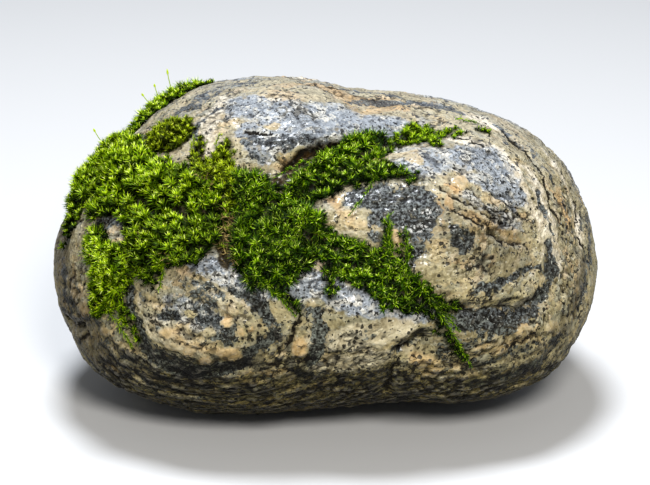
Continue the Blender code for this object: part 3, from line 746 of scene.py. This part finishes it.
    # mica in flakes and specks, painted shade in the pits and between crystals, and small bright faces that
    # catch the light as painted glints
    flakes = flakes + broken * 0.35 + low * 0.4 + darkness * 0.3 - orange * 0.4 - pale * 0.3
    specks = salt + blue * 0.25 + darkness * 0.3 - orange * 0.4 - pale * 0.3
    # painted shade in the cracks between crystals
    between = (0.075 - crystalEdge + salt * 0.03).step(0.0, 0.035)
    where = broken + frayed * 0.6 + patches * 0.3 + coarse * 0.4 + low * 0.6 - pale * 0.3
    between = between * where.step(0.4, 0.9)
    pepper = pits.most(flakes.step(0.95, 1.05)).most(specks.step(0.88, 1.02)).most(between * 0.9)
    colour = (pepper * 0.93).blend(colour, gneiss["micaAndShade"])
    # painted glints: near-white specks in the colour
    glitter = spot.shifted((3.0, 71.0, 5.0)).ripple(1.1, 0.6, 0.5) + darkness * 0.05 + blue * 0.08
    glitter = glitter.step(1.0, 1.25)
    colour = (glitter * 0.5).blend(colour, gneiss["glint"])
    # olive brown and painted shade on what faces down, a painted cool reflection of the sky on what faces up,
    # brownish painted shade where listed, dirt and painted shade in hollows and cracks, painted shade near
    # and under the moss
    lowShade = fineLayers * 0.5 + frayed * 0.35 + broken * 0.25 + (crystalC - 0.5) * 1.1 + salt * 0.25 + 0.43
    colour = low.blend(colour, colour.tinted(lowShade.blend(*gneiss["oliveAndShadeBelow"])))
    # painted reflection of the sky on what faces up
    colour = (up.step(0.6, 1.0) * 0.4).blend(colour, colour.tinted(gneiss["skyReflection"], "SCREEN", 0.25))
    colour = (orange * up.step(0.3, 0.9) * 0.7).blend(colour, colour.tinted(gneiss["orangeOnTop"]))
    yellowed = (up * -1).step(-0.72, 0.0) * (1 - blue * 0.8)
    colour = yellowed.blend(colour, colour.tinted(gneiss["yellowed"]))
    # brownish painted shade where it is listed
    damp = (tap.attribute("damp") + fray * 0.12).step(0.15, 0.85)
    colour = damp.blend(colour, colour.tinted(gneiss["damp"]))
    # dirt, and painted shade in hollows and along the cracks
    dirtAndShade = hollow.step(0.15, 0.95) * 0.65
    dirtAndShade = dirtAndShade.most((tap.attribute("seam") + fray * 0.2).step(0.4, 0.8) * 0.7)
    dirtAndShade = dirtAndShade.most(crack.step(0.35, 0.8) * 0.8)
    offset = tap.attribute("offset") + frayed * 0.45 + salt * 0.12
    crackLine = (0.56 + broken * 0.45 - offset.most(offset * -1)).step(-0.3, 0.2)
    crackLine = crackLine * tap.attribute("split").step(0.3, 0.55)
    dirtAndShade = dirtAndShade.most(crackLine * 0.97)
    colour = (dirtAndShade + fray * 0.03).blend(colour, gneiss["dirtAndShade"])
    rub = (hollow * -1).step(0.1, 0.9) * 0.3
    colour = rub.blend(colour, colour.tinted(gneiss["rubbed"], "SCREEN", 0.3))
    # painted shade on the stone near and under the moss
    moss = tap.attribute("moss") + frayed * 0.06
    algaeAndShadeNearMoss, shadeUnderMoss = gneiss["shadeByTheMoss"]
    colour = (moss.step(0.76, 0.93) * 0.6).blend(colour, algaeAndShadeNearMoss)
    colour = moss.step(0.92, 1.0).blend(colour, shadeUnderMoss)
    colour.into(shader, "Base Color")

    roughness = 0.55 - pepper * 0.1 - glitter * 0.2 + dirtAndShade * 0.3 + salt * 0.1
    roughness.into(shader, "Roughness")
    shader.inputs["Specular IOR Level"].default_value = gneiss["specular"]
    gleam = (salt + (crystalA - 0.5) * 2 + blue * 0.3 + darkness * 0.3).step(0.3, 1.0)
    gleam = gleam * up.step(0.0, 0.5) * gneiss["gleam"] * (1 - dirtAndShade)
    gleam.into(shader, "Coat Weight")
    shader.inputs["Coat Roughness"].default_value = gneiss["coatRoughness"]
    # heights in mm
    height = (frayed * 0.28 + salt * 0.24) * (rugged * 0.5 + blue * 0.3 + 0.55) * (1 - grain * 0.7)
    height = height + crystalEdge.least(0.3) * (grainy * 1.2 + blue * 0.3)
    height = height - pepper * 0.4 - darkness * 0.15 + broken * 0.2
    height = height + fineLayers * (own * 0.5 + 0.05) - crack * 0.4 - crackLine * 0.7
    bump = tap.node("ShaderNodeBump", {}, {"Strength": 1.0, "Distance": gneiss["bump"], "Height": height})
    bump.into(shader, "Normal")
    return made


stonePiece = buildStone()
stonePiece.data.materials.append(stoneMaterial())
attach(stonePiece, "root")
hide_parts("stone")
fineTree = treeOf(stonePiece)
print("stone done:", len(stonePiece.data.polygons) * 2, "triangles")


# The moss: every cushion is shoots that stand on the stone and reach the top of its solid. Lengths are in
# mm: spacing between shoots, length and width of a leaf, and the stretch of stem that carries leaves.
# "spread" opens the leaves, "upright" turns the shoots up, and "sunward" is the direction that the sunny
# side faces, then how far round the shade ends and the full light starts. "tint" goes from shady to sunny
mossCushions = {
    "moss_mat": {"slot": "bright_moss", "palette": "lime", "spacing": 3.3, "leaf": 6.0, "width": 0.5,
                 "leaves": 86, "brush": 6.0, "spread": 0.72, "upright": 1.0,
                 "sunward": (-0.55, 0.1, 0.85, 0.36, 0.86), "tint": (0.1, 1.0), "seed": 11},
    "moss_crown": {"slot": "bright_moss", "palette": "lime", "spacing": 2.5, "leaf": 5.6, "width": 0.46,
                   "leaves": 76, "brush": 4.5, "spread": 0.8, "upright": 0.9,
                   "sunward": (-0.2, 0, 1, 0.1, 0.7), "tint": (0.65, 1.0), "seed": 12},
    "moss_apron": {"slot": "bright_moss", "palette": "lime", "spacing": 2.8, "leaf": 5.4, "width": 0.44,
                   "leaves": 80, "brush": 5.0, "spread": 0.85, "upright": 0.6,
                   "sunward": (-0.3, -0.3, 1, -0.5, 0.4), "tint": (0.3, 1.0), "seed": 13},
    "moss_heart": {"slot": "dark_moss", "palette": "deep", "spacing": 3.0, "leaf": 6.2, "width": 0.42,
                   "leaves": 84, "brush": 5.0, "spread": 0.95, "upright": 0.5,
                   "sunward": (0.2, 0, 1, 0.0, 0.7), "tint": (0.05, 1.0), "seed": 14},
    "moss_ridge": {"slot": "dark_moss", "palette": "deep", "spacing": 2.7, "leaf": 5.6, "width": 0.42,
                   "leaves": 80, "brush": 4.5, "spread": 0.9, "upright": 0.7,
                   "sunward": (0.3, 0, 1, 0.2, 0.9), "tint": (0.05, 1.0), "seed": 15},
    "moss_slope": {"slot": "dark_moss", "palette": "deep", "spacing": 2.7, "leaf": 5.4, "width": 0.42,
                   "leaves": 76, "brush": 4.0, "spread": 0.85, "upright": 0.7,
                   "sunward": (0, 0, 1, -0.3, 0.5), "tint": (0.05, 1.0), "seed": 16},
    "moss_button": {"slot": "olive_moss", "palette": "olive", "spacing": 2.4, "leaf": 4.0, "width": 0.36,
                    "leaves": 84, "brush": 3.0, "spread": 0.95, "upright": 0.7,
                    "sunward": (0, 0, 1, 0.3, 0.9), "tint": (0.15, 0.95), "seed": 17},
    "moss_saddle": {"slot": "olive_moss", "palette": "olive", "spacing": 2.1, "leaf": 4.6, "width": 0.36,
                    "leaves": 80, "brush": 3.4, "spread": 0.95, "upright": 0.9,
                    "sunward": (0, 0, 1, 0.1, 0.8), "tint": (0.95, 1.0), "seed": 18},
    "moss_ridge_tip": {"slot": "olive_moss", "palette": "spring", "spacing": 2.1, "leaf": 4.6, "width": 0.38,
                       "leaves": 76, "brush": 3.0, "spread": 0.95, "upright": 0.8,
                       "sunward": (0, 0, 1, 0.1, 0.8), "tint": (0.45, 1.0), "seed": 19},
    "moss_tuft": {"slot": "olive_moss", "palette": "spring", "spacing": 1.5, "leaf": 2.8, "width": 0.36,
                  "leaves": 40, "brush": 1.5, "spread": 1.0, "upright": 0.6,
                  "sunward": (0, 0, 1, 0.0, 0.6), "tint": (0.4, 0.9), "seed": 20},
}
# Single shoots that trail over the bare stone or stand against it:
# (cushion, length of leaf, tint, height over the stone at the start and the end, places...)
runners = (
    ("moss_apron", 3.8, 1.0, 2.4, 1.2, (-99, -27), (-96, -33), (-92, -39), (-88, -46)),
    ("moss_apron", 2.6, 0.6, 2.0, 1.0, (-98, -24), (-93, -31), (-90, -37)),
    ("moss_heart", 3.4, 1.0, 2.8, 1.4, (-33, -12), (-27, -17), (-20, -24), (-14, -31)),
    ("moss_heart", 2.8, 0.5, 2.0, 1.2, (-22, -8), (-18, -13), (-13, -16)),
    ("moss_slope", 3.2, 0.8, 2.4, 1.2, (50, -30), (55, -37), (60, -45), (66, -55)),
    ("moss_slope", 2.4, 0.9, 1.6, 0.8, (53, -31), (57, -35), (60, -39)),
    ("moss_slope", 2.8, 0.6, 2.5, 1.0, (4, -6), (3, -14), (2, -22)),
    ("moss_slope", 4.0, 0.9, 1.5, 3.0, (28, -6), (28, 4), (28, 14)),
    ("moss_slope", 3.6, 0.6, 1.5, 3.0, (30, -6), (29.5, 2), (30, 8)),
    ("moss_slope", 3.6, 0.7, 1.5, 3.0, (36, -12), (36.5, -4), (35.5, 6)),
    ("moss_slope", 2.6, 0.6, 1.5, 1.0, (46, -27), (54, -27), (61, -29)),
    ("moss_slope", 2.6, 0.4, 1.5, 1.0, (44, -24), (51, -29), (58, -33)),
    ("moss_ridge", 2.8, 1.0, 4.0, 2.0, (9, 42), (-4, 38), (-14, 34), (-24, 30)),
    ("moss_ridge", 2.6, 0.7, 3.0, 2.0, (6, 40), (-6, 35), (-13, 32)),
    ("moss_ridge", 2.6, 0.5, 2.0, 2.0, (2, 37), (-8, 34), (-17, 30)),
    ("moss_ridge", 2.2, 0.9, 2.5, 1.0, (22, 28), (17, 21), (10, 13)),
    ("moss_ridge", 2.8, 0.6, 2.0, 1.2, (27, 34), (33, 32), (40, 31)),
    ("moss_ridge_tip", 2.6, 0.8, 1.5, 1.0, (60, 57), (66, 57), (71, 56)),
    ("moss_saddle", 3.2, 0.9, 1.5, 2.0, (-60, 38), (-61, 44), (-60, 50)),
    ("moss_saddle", 3.4, 0.9, 1.5, 2.0, (-50, 38), (-49, 44), (-48, 50)),
    ("moss_mat", 3.4, 0.7, 2.5, 1.2, (-72, -6), (-73, -14), (-75, -20)),
)
# A cushion's old growth stays low in the shade and its young shoots stand over it: the share of the
# spacing, of the height, of the leaf's length, of the number of leaves and of the light
mossLayers = {"_undergrowth": (0.8, 0.5, 0.75, 0.5, 0.15), "_shoots": (1.0, 1.0, 1.0, 1.0, 1.0)}
# Each palette is two runs of colour from a leaf's foot to its tip: for shady shoots and for sunny ones
# In the green palettes both runs are partly painted light and shade: the shady run for shoots out of the
# light, the dark foot for shade inside the cushion, the bright tip for light through the leaf
mossPalettes = {
    "lime": (((2, 5, 0), (15, 31, 0), (80, 114, 4), (200, 222, 60)),
             ((11, 22, 0), (96, 132, 2), (210, 236, 32), (255, 255, 180))),
    "deep": (((1, 3, 0), (8, 20, 0), (54, 84, 2), (196, 216, 62)),
             ((4, 9, 0), (48, 84, 0), (164, 202, 16), (255, 255, 168))),
    "olive": (((6, 7, 0), (32, 40, 1), (100, 116, 6), (200, 208, 50)),
              ((18, 23, 0), (92, 112, 4), (186, 206, 20), (248, 252, 130))),
    "spring": (((8, 12, 1), (36, 56, 2), (104, 136, 8), (180, 198, 46)),
               ((20, 30, 1), (92, 128, 4), (172, 200, 20), (236, 242, 116))),
    "dry": (((14, 10, 4), (60, 48, 24), (112, 92, 50), (170, 146, 88)),
            ((36, 29, 14), (118, 100, 56), (176, 154, 96), (224, 208, 154))),
}
# Young spore capsules on stalks at the skyline: (cushion, foot, tip) as right and up
stalks = (
    ("moss_crown", (-74.5, 75.5), (-76.5, 83.0)),
    ("moss_crown", (-81.5, 72.5), (-83.2, 77.0)),
    ("moss_crown", (-86.0, 69.5), (-89.0, 73.0)),
    ("moss_mat", (-109.0, 50.5), (-112.0, 55.0)),
)
goldenTurn = math.radians(137.508)  # from each leaf to the next, round the stem
leafGloss = 0.03
# What all shoots have in common, and all runners and stalks; widths and steps in mm
shoot = {
    "stem": 0.4,
    "parting": (8.0, 0.9),  # neighbours within so many mm lean the same way, and how strongly
    "crooked": 0.2,
    "opened": (12, 74),     # a leaf's angle to the stem in degrees, newest and oldest
    "bend": (-0.1, 0.7),    # outward
    "fringe": 0.6,          # the share of short shoots that creep out over the stone
    "creep": (0.5, 3.0),    # and how far
}
runner = {"stem": 0.35, "leafWidth": (0.26, 0.4), "opened": (12, 60), "leavesPerStep": 3, "step": 0.45}
stalk = {"stem": 0.45, "capsule": 2.2}  # the capsule's length is in steps of the stalk's line


def mossMaterial(palette):
    made, shader, tap = newMaterial(palette + "_leaves")
    shades = []
    for run in mossPalettes[palette]:
        stops = list(zip((0.05, 0.45, 0.8, 1.0), (screen(*c) for c in run)))
        shades.append(tap.node("ShaderNodeValToRGB", {"stops": stops}, {0: tap.attribute("rising")}))
    tap.attribute("tint").blend(*shades).into(shader, "Base Color")
    (0.5 - tap.attribute("rising") * 0.12).into(shader, "Roughness")
    shader.inputs["Specular IOR Level"].default_value = leafGloss
    return made


def spreadOut(points, gap, random):
    # a random choice of the points, none nearer than the gap to another
    chosen = []
    for k in random.permutation(len(points)):
        if not chosen or ((points[chosen] - points[k]) ** 2).sum(1).min() > gap * gap:
            chosen.append(k)
    return np.array(chosen)


def unit(vectors):
    return vectors / np.maximum(np.linalg.norm(vectors, axis=-1, keepdims=True), 1e-9)


class Greenery:
    # gathers leaves and stems of one cushion
    def __init__(self):
        self.points, self.normals, self.faces, self.tint, self.rising = [], [], [], [], []
        self.count = 0

    def add(self, points, normals, faces, tint, rising):
        self.points.append(points)
        self.normals.append(normals)
        self.faces.append(faces + self.count)
        self.tint.append(tint)
        self.rising.append(rising)
        self.count += len(points)

    def leaves(self, foot, heading, across, outward, length, width, bend, tint, start, end):
        # foot, heading and across are (n, 3); the leaf bends along bend, (n, 3); its face looks outward
        face = np.cross(across, heading)
        turned = np.where((face * outward).sum(1) < 0, -1.0, 1.0)[:, None]
        across, face = across * turned, unit(face * turned * 0.55 + outward)
        middle = foot + heading * (length * 0.5)[:, None]
        tip = middle + unit(heading + bend) * (length * 0.5)[:, None]
        half = across * (width / 2)[:, None]
        points = np.stack((foot - half * 0.6, foot + half * 0.6, middle - half, middle + half, tip), 1)
        count = len(foot)
        faces = np.array(((0, 1, 3), (0, 3, 2), (2, 3, 4)))[None] + 5 * np.arange(count)[:, None, None]
        sway = np.array((-1, 1, -1, 1, 0)) * 0.011
        rising = start[:, None] + (end - start)[:, None] * np.array((0, 0, 0.55, 0.55, 1.0))
        self.add(points.reshape(-1, 3), np.repeat(face, 5, axis=0), faces.reshape(-1, 3),
                 (np.clip(tint, 0.015, 0.985)[:, None] + sway).ravel(), rising.ravel())

    def stem(self, line, width, tint, rising, sides=3):
        # a thin stem through the points of a line; width and rising may change along it
        line = np.asarray(line)
        heading = unit(np.gradient(line, axis=0))
        side = unit(np.cross(heading, np.array((0.31, 0.95, 0.1))))
        other = np.cross(heading, side)
        width = np.broadcast_to(width, len(line))
        angles = np.arange(sides) * math.tau / sides
        ring = np.stack([side * math.cos(a) + other * math.sin(a) for a in angles], 1)
        points = (line[:, None] + ring * width[:, None, None] / 2).reshape(-1, 3)
        faces = []
        for k in range(len(line) - 1):
            for j in range(sides):
                a, b = sides * k + j, sides * k + (j + 1) % sides
                faces += [(a, b, b + sides), (a, b + sides, a + sides)]
        last = sides * (len(line) - 1)
        for j in range(1, sides - 1):
            faces += [(0, j + 1, j), (last, last + j, last + j + 1)]
        rising = np.repeat(np.broadcast_to(rising, len(line)), sides)
        sway = np.tile(0.01 * np.cos(angles), len(line))
        self.add(points, ring.reshape(-1, 3), np.array(faces), np.clip(tint, 0.015, 0.985) + sway,
                 rising + np.tile(0.01 * np.sin(angles), len(line)))

    def piece(self, name):
        points, faces = np.concatenate(self.points), np.concatenate(self.faces)
        tint = np.clip(np.concatenate(self.tint), 0, 1)
        rising = np.clip(np.concatenate(self.rising), 0, 1)
        uv = np.stack((tint, rising), 1)[faces.ravel()] * 0.98 + 0.01
        return newPiece(name, points, faces, uv, {"tint": tint, "rising": rising},
                        unit(np.concatenate(self.normals)))


def shootPlaces(node, gap, random):
    # where shoots end, the way the cushion faces there, and the stone beneath
    points, faces = meshOf(node)
    a, b, c = (points[faces[:, k]] for k in range(3))
    normal = np.cross(b - a, c - a)
    area = np.linalg.norm(normal, axis=1) / 2
    normal = unit(normal)
    want = int(area.sum() / (gap * gap) * 9)  # to choose from
    pick = random.choice(len(faces), want, p=area / area.sum())
    s, t = np.sqrt(random.random(want)), random.random(want)
    tops = a[pick] * (1 - s)[:, None] + b[pick] * (s * (1 - t))[:, None] + c[pick] * (s * t)[:, None]
    normal = normal[pick]
    under = np.array([fineTree.find_nearest(Vector(p))[0] for p in tops])
    good = (((tops - under) * normal).sum(1) > 0.2) & (np.linalg.norm(tops - under, axis=1) > 0.7)
    tops, normal, under = tops[good], normal[good], under[good]
    chosen = spreadOut(tops, gap, random)
    return tops[chosen], normal[chosen], under[chosen]


def growShoots(green, look, random, tops, facing, roots, layer):
    lift, big, many, sunny = layer
    lowTint, highTint = look["tint"]
    cloud = lumps(tops, 10.0, look["seed"] * 7.0)
    *sunward, shaded, sunlit = look["sunward"]
    lit = soft(unit(roots - centre) @ unit(np.array(sunward, float)), shaded, sunlit)
    tints = np.clip(0.12 + 0.75 * lit + cloud * 0.9 + random.normal(0, 0.22, len(tops)), 0, 1)
    tints = (lowTint + (highTint - lowTint) * tints) * sunny
    # neighbours lean the same way, so that the shoots part in places
    shift = look["seed"] * 7.0
    apart, strength = shoot["parting"]
    leaning = strays(tops, apart, shift + 101, shift + 207, shift + 311) * strength
    newest, oldest = shoot["opened"]
    for top, face, root, tint, lean in zip(tops, facing, roots, tints, leaning):
        tall = np.linalg.norm(top - root)
        full = soft(tall, 0.8, 5.0)
        if tall < look["leaf"] * 0.6 and random.random() < shoot["fringe"]:
            place = Vector(root + face * random.uniform(*shoot["creep"]))
            root, ahead = (np.array(v) for v in fineTree.find_nearest(place)[:2])
            top = root + ahead * tall
        axis = unit(unit(top - root) * 0.8 + face * 0.5 + np.array((0, -0.1, look["upright"]))
                    + lean + random.normal(0, shoot["crooked"], 3))
        length = look["leaf"] * (0.6 + 0.4 * full) * random.uniform(0.7, 1.15) * big
        height = (tall - length * 0.45) * lift + random.normal(0, 0.8) * full
        end = root + axis * max(height, 0.7)
        brush = min(look["brush"] * (0.4 + 0.6 * full), max(height, 0.7) * 0.9)
        side = unit(np.cross(axis, random.normal(0, 1, 3)))
        count = int(look["leaves"] * (0.5 + 0.5 * full) * many * random.uniform(0.75, 1.2))
        age = (np.arange(count) + 0.5) / count  # 0 the oldest leaf, 1 the newest
        turn = np.arange(count) * goldenTurn + random.uniform(0, math.tau) + random.normal(0, 0.3, count)
        opened = np.radians(newest + (oldest - newest) * (1 - age**1.6)) * look["spread"]
        opened = opened + random.normal(0, 0.22, count)
        other = np.cross(axis, side)
        out = side * np.cos(turn)[:, None] + other * np.sin(turn)[:, None]
        heading = unit(axis * np.cos(opened)[:, None] + out * np.sin(opened)[:, None]
                       + random.normal(0, 0.1, (count, 3)))
        across = unit(np.cross(heading, axis) + random.normal(0, 0.45, (count, 3)))
        foot = end - axis * (brush * (1 - age**0.8))[:, None]
        size = length * (0.6 + 0.4 * np.sin(age**0.8 * math.pi)) * random.uniform(0.7, 1.15, count)
        wide = look["width"] * random.uniform(0.75, 1.1, count)
        bend = out * random.uniform(*shoot["bend"], count)[:, None] + random.normal(0, 0.16, (count, 3))
        outward = unit(face * 0.5 + axis * 0.5 + np.array((0, 0, 0.35)))
        # the older, lower leaves and every leaf's foot are darker: partly painted shade inside the cushion
        green.leaves(foot, heading, across, outward, size, wide, bend,
                     tint + random.normal(0, 0.26, count), (0.01 + 0.33 * age**1.4) * sunny,
                     (0.12 + 0.88 * age**1.35) * (0.2 + 0.8 * sunny) * random.uniform(0.7, 1.38, count))
        green.stem((root - axis * 0.6, root + (end - root) * 0.5, end), shoot["stem"], tint, 0.08)


def growStalk(green, node, foot, tip):
    foot, tip = (centre + faceAxes[0] * p[0] + faceAxes[1] * p[1] for p in (foot, tip))
    root = np.array(treeOf(node).find_nearest(Vector(foot))[0])
    t = np.linspace(-0.3, 1, 9)[:, None]
    line = root + (tip - foot) * t + np.cross(tip - foot, (0, 0.12, 0)) * t * (1 - t)
    green.stem(line, stalk["stem"], 0.5, np.linspace(0.5, 0.75, 9), sides=5)
    s = np.linspace(0, 1, 7)  # along the capsule
    capsule = line[-1] + (line[-1] - line[-2]) * (stalk["capsule"] * s)[:, None]
    green.stem(capsule, 0.4 + 0.8 * np.sin(math.pi * s**0.7), 0.6, 0.7 + 0.15 * s, sides=6)


def growRunner(green, random, leaf, tint, low, high, places):
    ends = [np.array(place[:2], float) for place in places]
    line = []
    for a, b in zip(ends[:-1], ends[1:]):
        for t in np.arange(0, 1, runner["step"] / np.linalg.norm(b - a)):
            line.append(onStone("front", *(a + (b - a) * t)))
    line = np.array(line)
    ground = [fineTree.find_nearest(Vector(p)) for p in line]
    normal = np.array([g[1] for g in ground])
    for _ in range(6):
        normal[1:-1] = unit(normal[:-2] + normal[1:-1] * 2 + normal[2:])
    rise = np.linspace(low, high, len(line)) + 0.35 * np.sin(np.arange(len(line)) * 0.37 + tint * 9)
    line = np.array([g[0] for g in ground]) + normal * rise[:, None]
    for _ in range(4):
        line[1:-1] = (line[:-2] + line[1:-1] * 2 + line[2:]) / 4
    ahead = unit(np.gradient(line, axis=0))
    side = unit(np.cross(ahead, normal))
    green.stem(line[::3], runner["stem"], min(tint, 0.6), 0.3)
    each = runner["leavesPerStep"]
    count = len(line) * each
    along = np.repeat(np.linspace(0, 1, len(line)), each)
    axis, out, lift = (np.repeat(v, each, axis=0) for v in (ahead, side, normal))
    turn = np.arange(count) * goldenTurn + random.normal(0, 0.5, count)
    out = out * np.cos(turn)[:, None] + lift * np.sin(turn)[:, None]
    opened = np.radians(random.uniform(*runner["opened"], count))[:, None]
    heading = axis * np.cos(opened) + out * np.sin(opened)
    across = unit(np.cross(heading, axis) + random.normal(0, 0.5, (count, 3)))
    size = leaf * random.uniform(0.6, 1.2, count) * (1 - 0.5 * along**2)
    green.leaves(np.repeat(line, each, axis=0), heading, across, lift, size,
                 random.uniform(*runner["leafWidth"], count), out * random.uniform(-0.2, 0.5, count)[:, None],
                 tint + random.normal(0, 0.2, count), np.full(count, 0.2), random.uniform(0.5, 1.0, count))


def growCushion(name, look):
    # one piece for each layer; the stalks and runners go with the shoots
    random = np.random.default_rng(look["seed"])
    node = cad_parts[name]
    grown = {part: Greenery() for part in mossLayers}
    for part, (closer, *layer) in mossLayers.items():
        growShoots(grown[part], look, random, *shootPlaces(node, look["spacing"] * closer, random), layer)
    for cushion, foot, tip in stalks:
        if cushion == name:
            growStalk(grown["_shoots"], node, foot, tip)
    for cushion, leaf, tint, low, high, *places in runners:
        if cushion == name:
            growRunner(grown["_shoots"], random, leaf, tint, low, high, places)
    return grown


leafMaterials = {palette: mossMaterial(palette) for palette in mossPalettes}
totalTriangles = 0
for name, look in mossCushions.items():
    for part, green in growCushion(name, look).items():
        piece = green.piece(name + part)
        piece.data.materials.append(leafMaterials[look["palette"]])
        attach(piece, "root")
        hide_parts(name)
        totalTriangles += len(piece.data.polygons)
        print(name + part, "grown:", len(piece.data.polygons), "triangles")


# Dead leaves caught in the moss: right, up, how many
dry = {
    "dead": ((-45, 17, 14), (-43, 13, 14), (-44, 9, 26), (-43, 5, 30), (-44, 1, 34), (-44, -3, 34),
             (-42, -7, 22), (-57, 29, 12), (-52, 26, 16), (-80, 4, 8), (-96, -14, 8), (-66, 14, 6),
             (-8, 31, 8), (24, 35, 6), (-70, -7, 12), (-104, -6, 6)),
    "brown": ((-10, 10, 9), (-6, 7, 6)),  # darker ones
    "leaf": 4.2,
}


def growDry():
    random = np.random.default_rng(31)
    green = Greenery()
    for kind in ("dead", "brown"):
        for right, up, count in dry[kind]:
            place = Vector(onStone("front", right, up))
            ground, ahead = (np.array(v) for v in fineTree.find_nearest(place)[:2])
            foot = ground + ahead * random.uniform(1.0, 5.5, count)[:, None]
            foot = foot + random.normal(0, 1.3, (count, 3))
            heading = unit(random.normal(0, 1, (count, 3)) + ahead * 0.4 + np.array((0, 0, -0.2)))
            across = unit(random.normal(0, 1, (count, 3)))
            tint = random.uniform(0.1, 0.9, count) if kind == "dead" else np.full(count, 0.1)
            green.leaves(foot, heading, across, ahead, dry["leaf"] * random.uniform(0.5, 1.1, count),
                         random.uniform(0.3, 0.55, count), random.normal(0, 0.5, (count, 3)), tint,
                         np.full(count, 0.3), random.uniform(0.5, 1.0, count))
    return green


piece = growDry().piece("moss_dead_leaves")
piece.data.materials.append(leafMaterials["dry"])
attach(piece, "root")
print("moss done:", totalTriangles + len(piece.data.polygons), "triangles")


# Floor, light and camera
studio = {
    "floor": (0.58, 0.58, 0.58, 1),
    "world": ((0.9, 0.94, 1.0, 1), 0.24),
    "key": {"at": (0.2, -1.2, 0.95), "size": 0.4, "power": 21.0, "colour": (1.0, 0.97, 0.92)},
    "top": {"at": (-0.1, 0.05, 1.6), "size": 0.5, "power": 36.0, "colour": (0.9, 0.94, 1.0)},
    "aim": (0, 0, 0.07),        # where both lights point
    "camera": 1.3,              # m from the stone's middle, square on to its face
    "frame": 650,               # width of the render in pixels
    "pixel": 0.4828 * mm,       # how wide one of them is at the stone
    "shift": (-1, 2.5),         # of the frame, pixels
}


def buildStudio():
    mesh = bpy.data.meshes.new("floor")
    half = 6
    mesh.from_pydata([(-half, -half, 0), (half, -half, 0), (half, half, 0), (-half, half, 0)], [],
                     [(0, 1, 2, 3)])
    floor = bpy.data.objects.new("floor", mesh)
    bpy.context.scene.collection.objects.link(floor)
    made, shader, _ = newMaterial("pale_floor")
    shader.inputs["Base Color"].default_value = studio["floor"]
    shader.inputs["Roughness"].default_value = 0.9
    shader.inputs["Specular IOR Level"].default_value = 0.1
    mesh.materials.append(made)
    world = bpy.data.worlds.new("studio")
    world.use_nodes = True
    sky = world.node_tree.nodes["Background"]
    sky.inputs["Color"].default_value, sky.inputs["Strength"].default_value = studio["world"]
    bpy.context.scene.world = world
    for name in ("key", "top"):
        look = studio[name]
        light = bpy.data.lights.new(name, "AREA")
        light.shape = "DISK"
        light.size, light.energy, light.color = look["size"], look["power"], look["colour"]
        lamp = bpy.data.objects.new(name, light)
        lamp.location = look["at"]
        lamp.rotation_mode = "QUATERNION"
        lamp.rotation_quaternion = (Vector(studio["aim"]) - lamp.location).to_track_quat("-Z", "Y")
        bpy.context.scene.collection.objects.link(lamp)


def buildCamera():
    back = Vector(faceAxes[2])
    data = bpy.data.cameras.new("camera")
    data.sensor_width = 36
    data.lens = data.sensor_width * studio["camera"] / (studio["frame"] * studio["pixel"])
    data.shift_x, data.shift_y = (pixels / studio["frame"] for pixels in studio["shift"])
    camera = bpy.data.objects.new("camera", data)
    camera.location = Vector(centre * mm) + back * studio["camera"]
    camera.rotation_mode = "QUATERNION"
    camera.rotation_quaternion = (-back).to_track_quat("-Z", "Y")
    bpy.context.scene.collection.objects.link(camera)
    bpy.context.scene.camera = camera


buildStudio()
buildCamera()
bpy.context.scene.view_settings.view_transform = "Standard"
print("studio done")
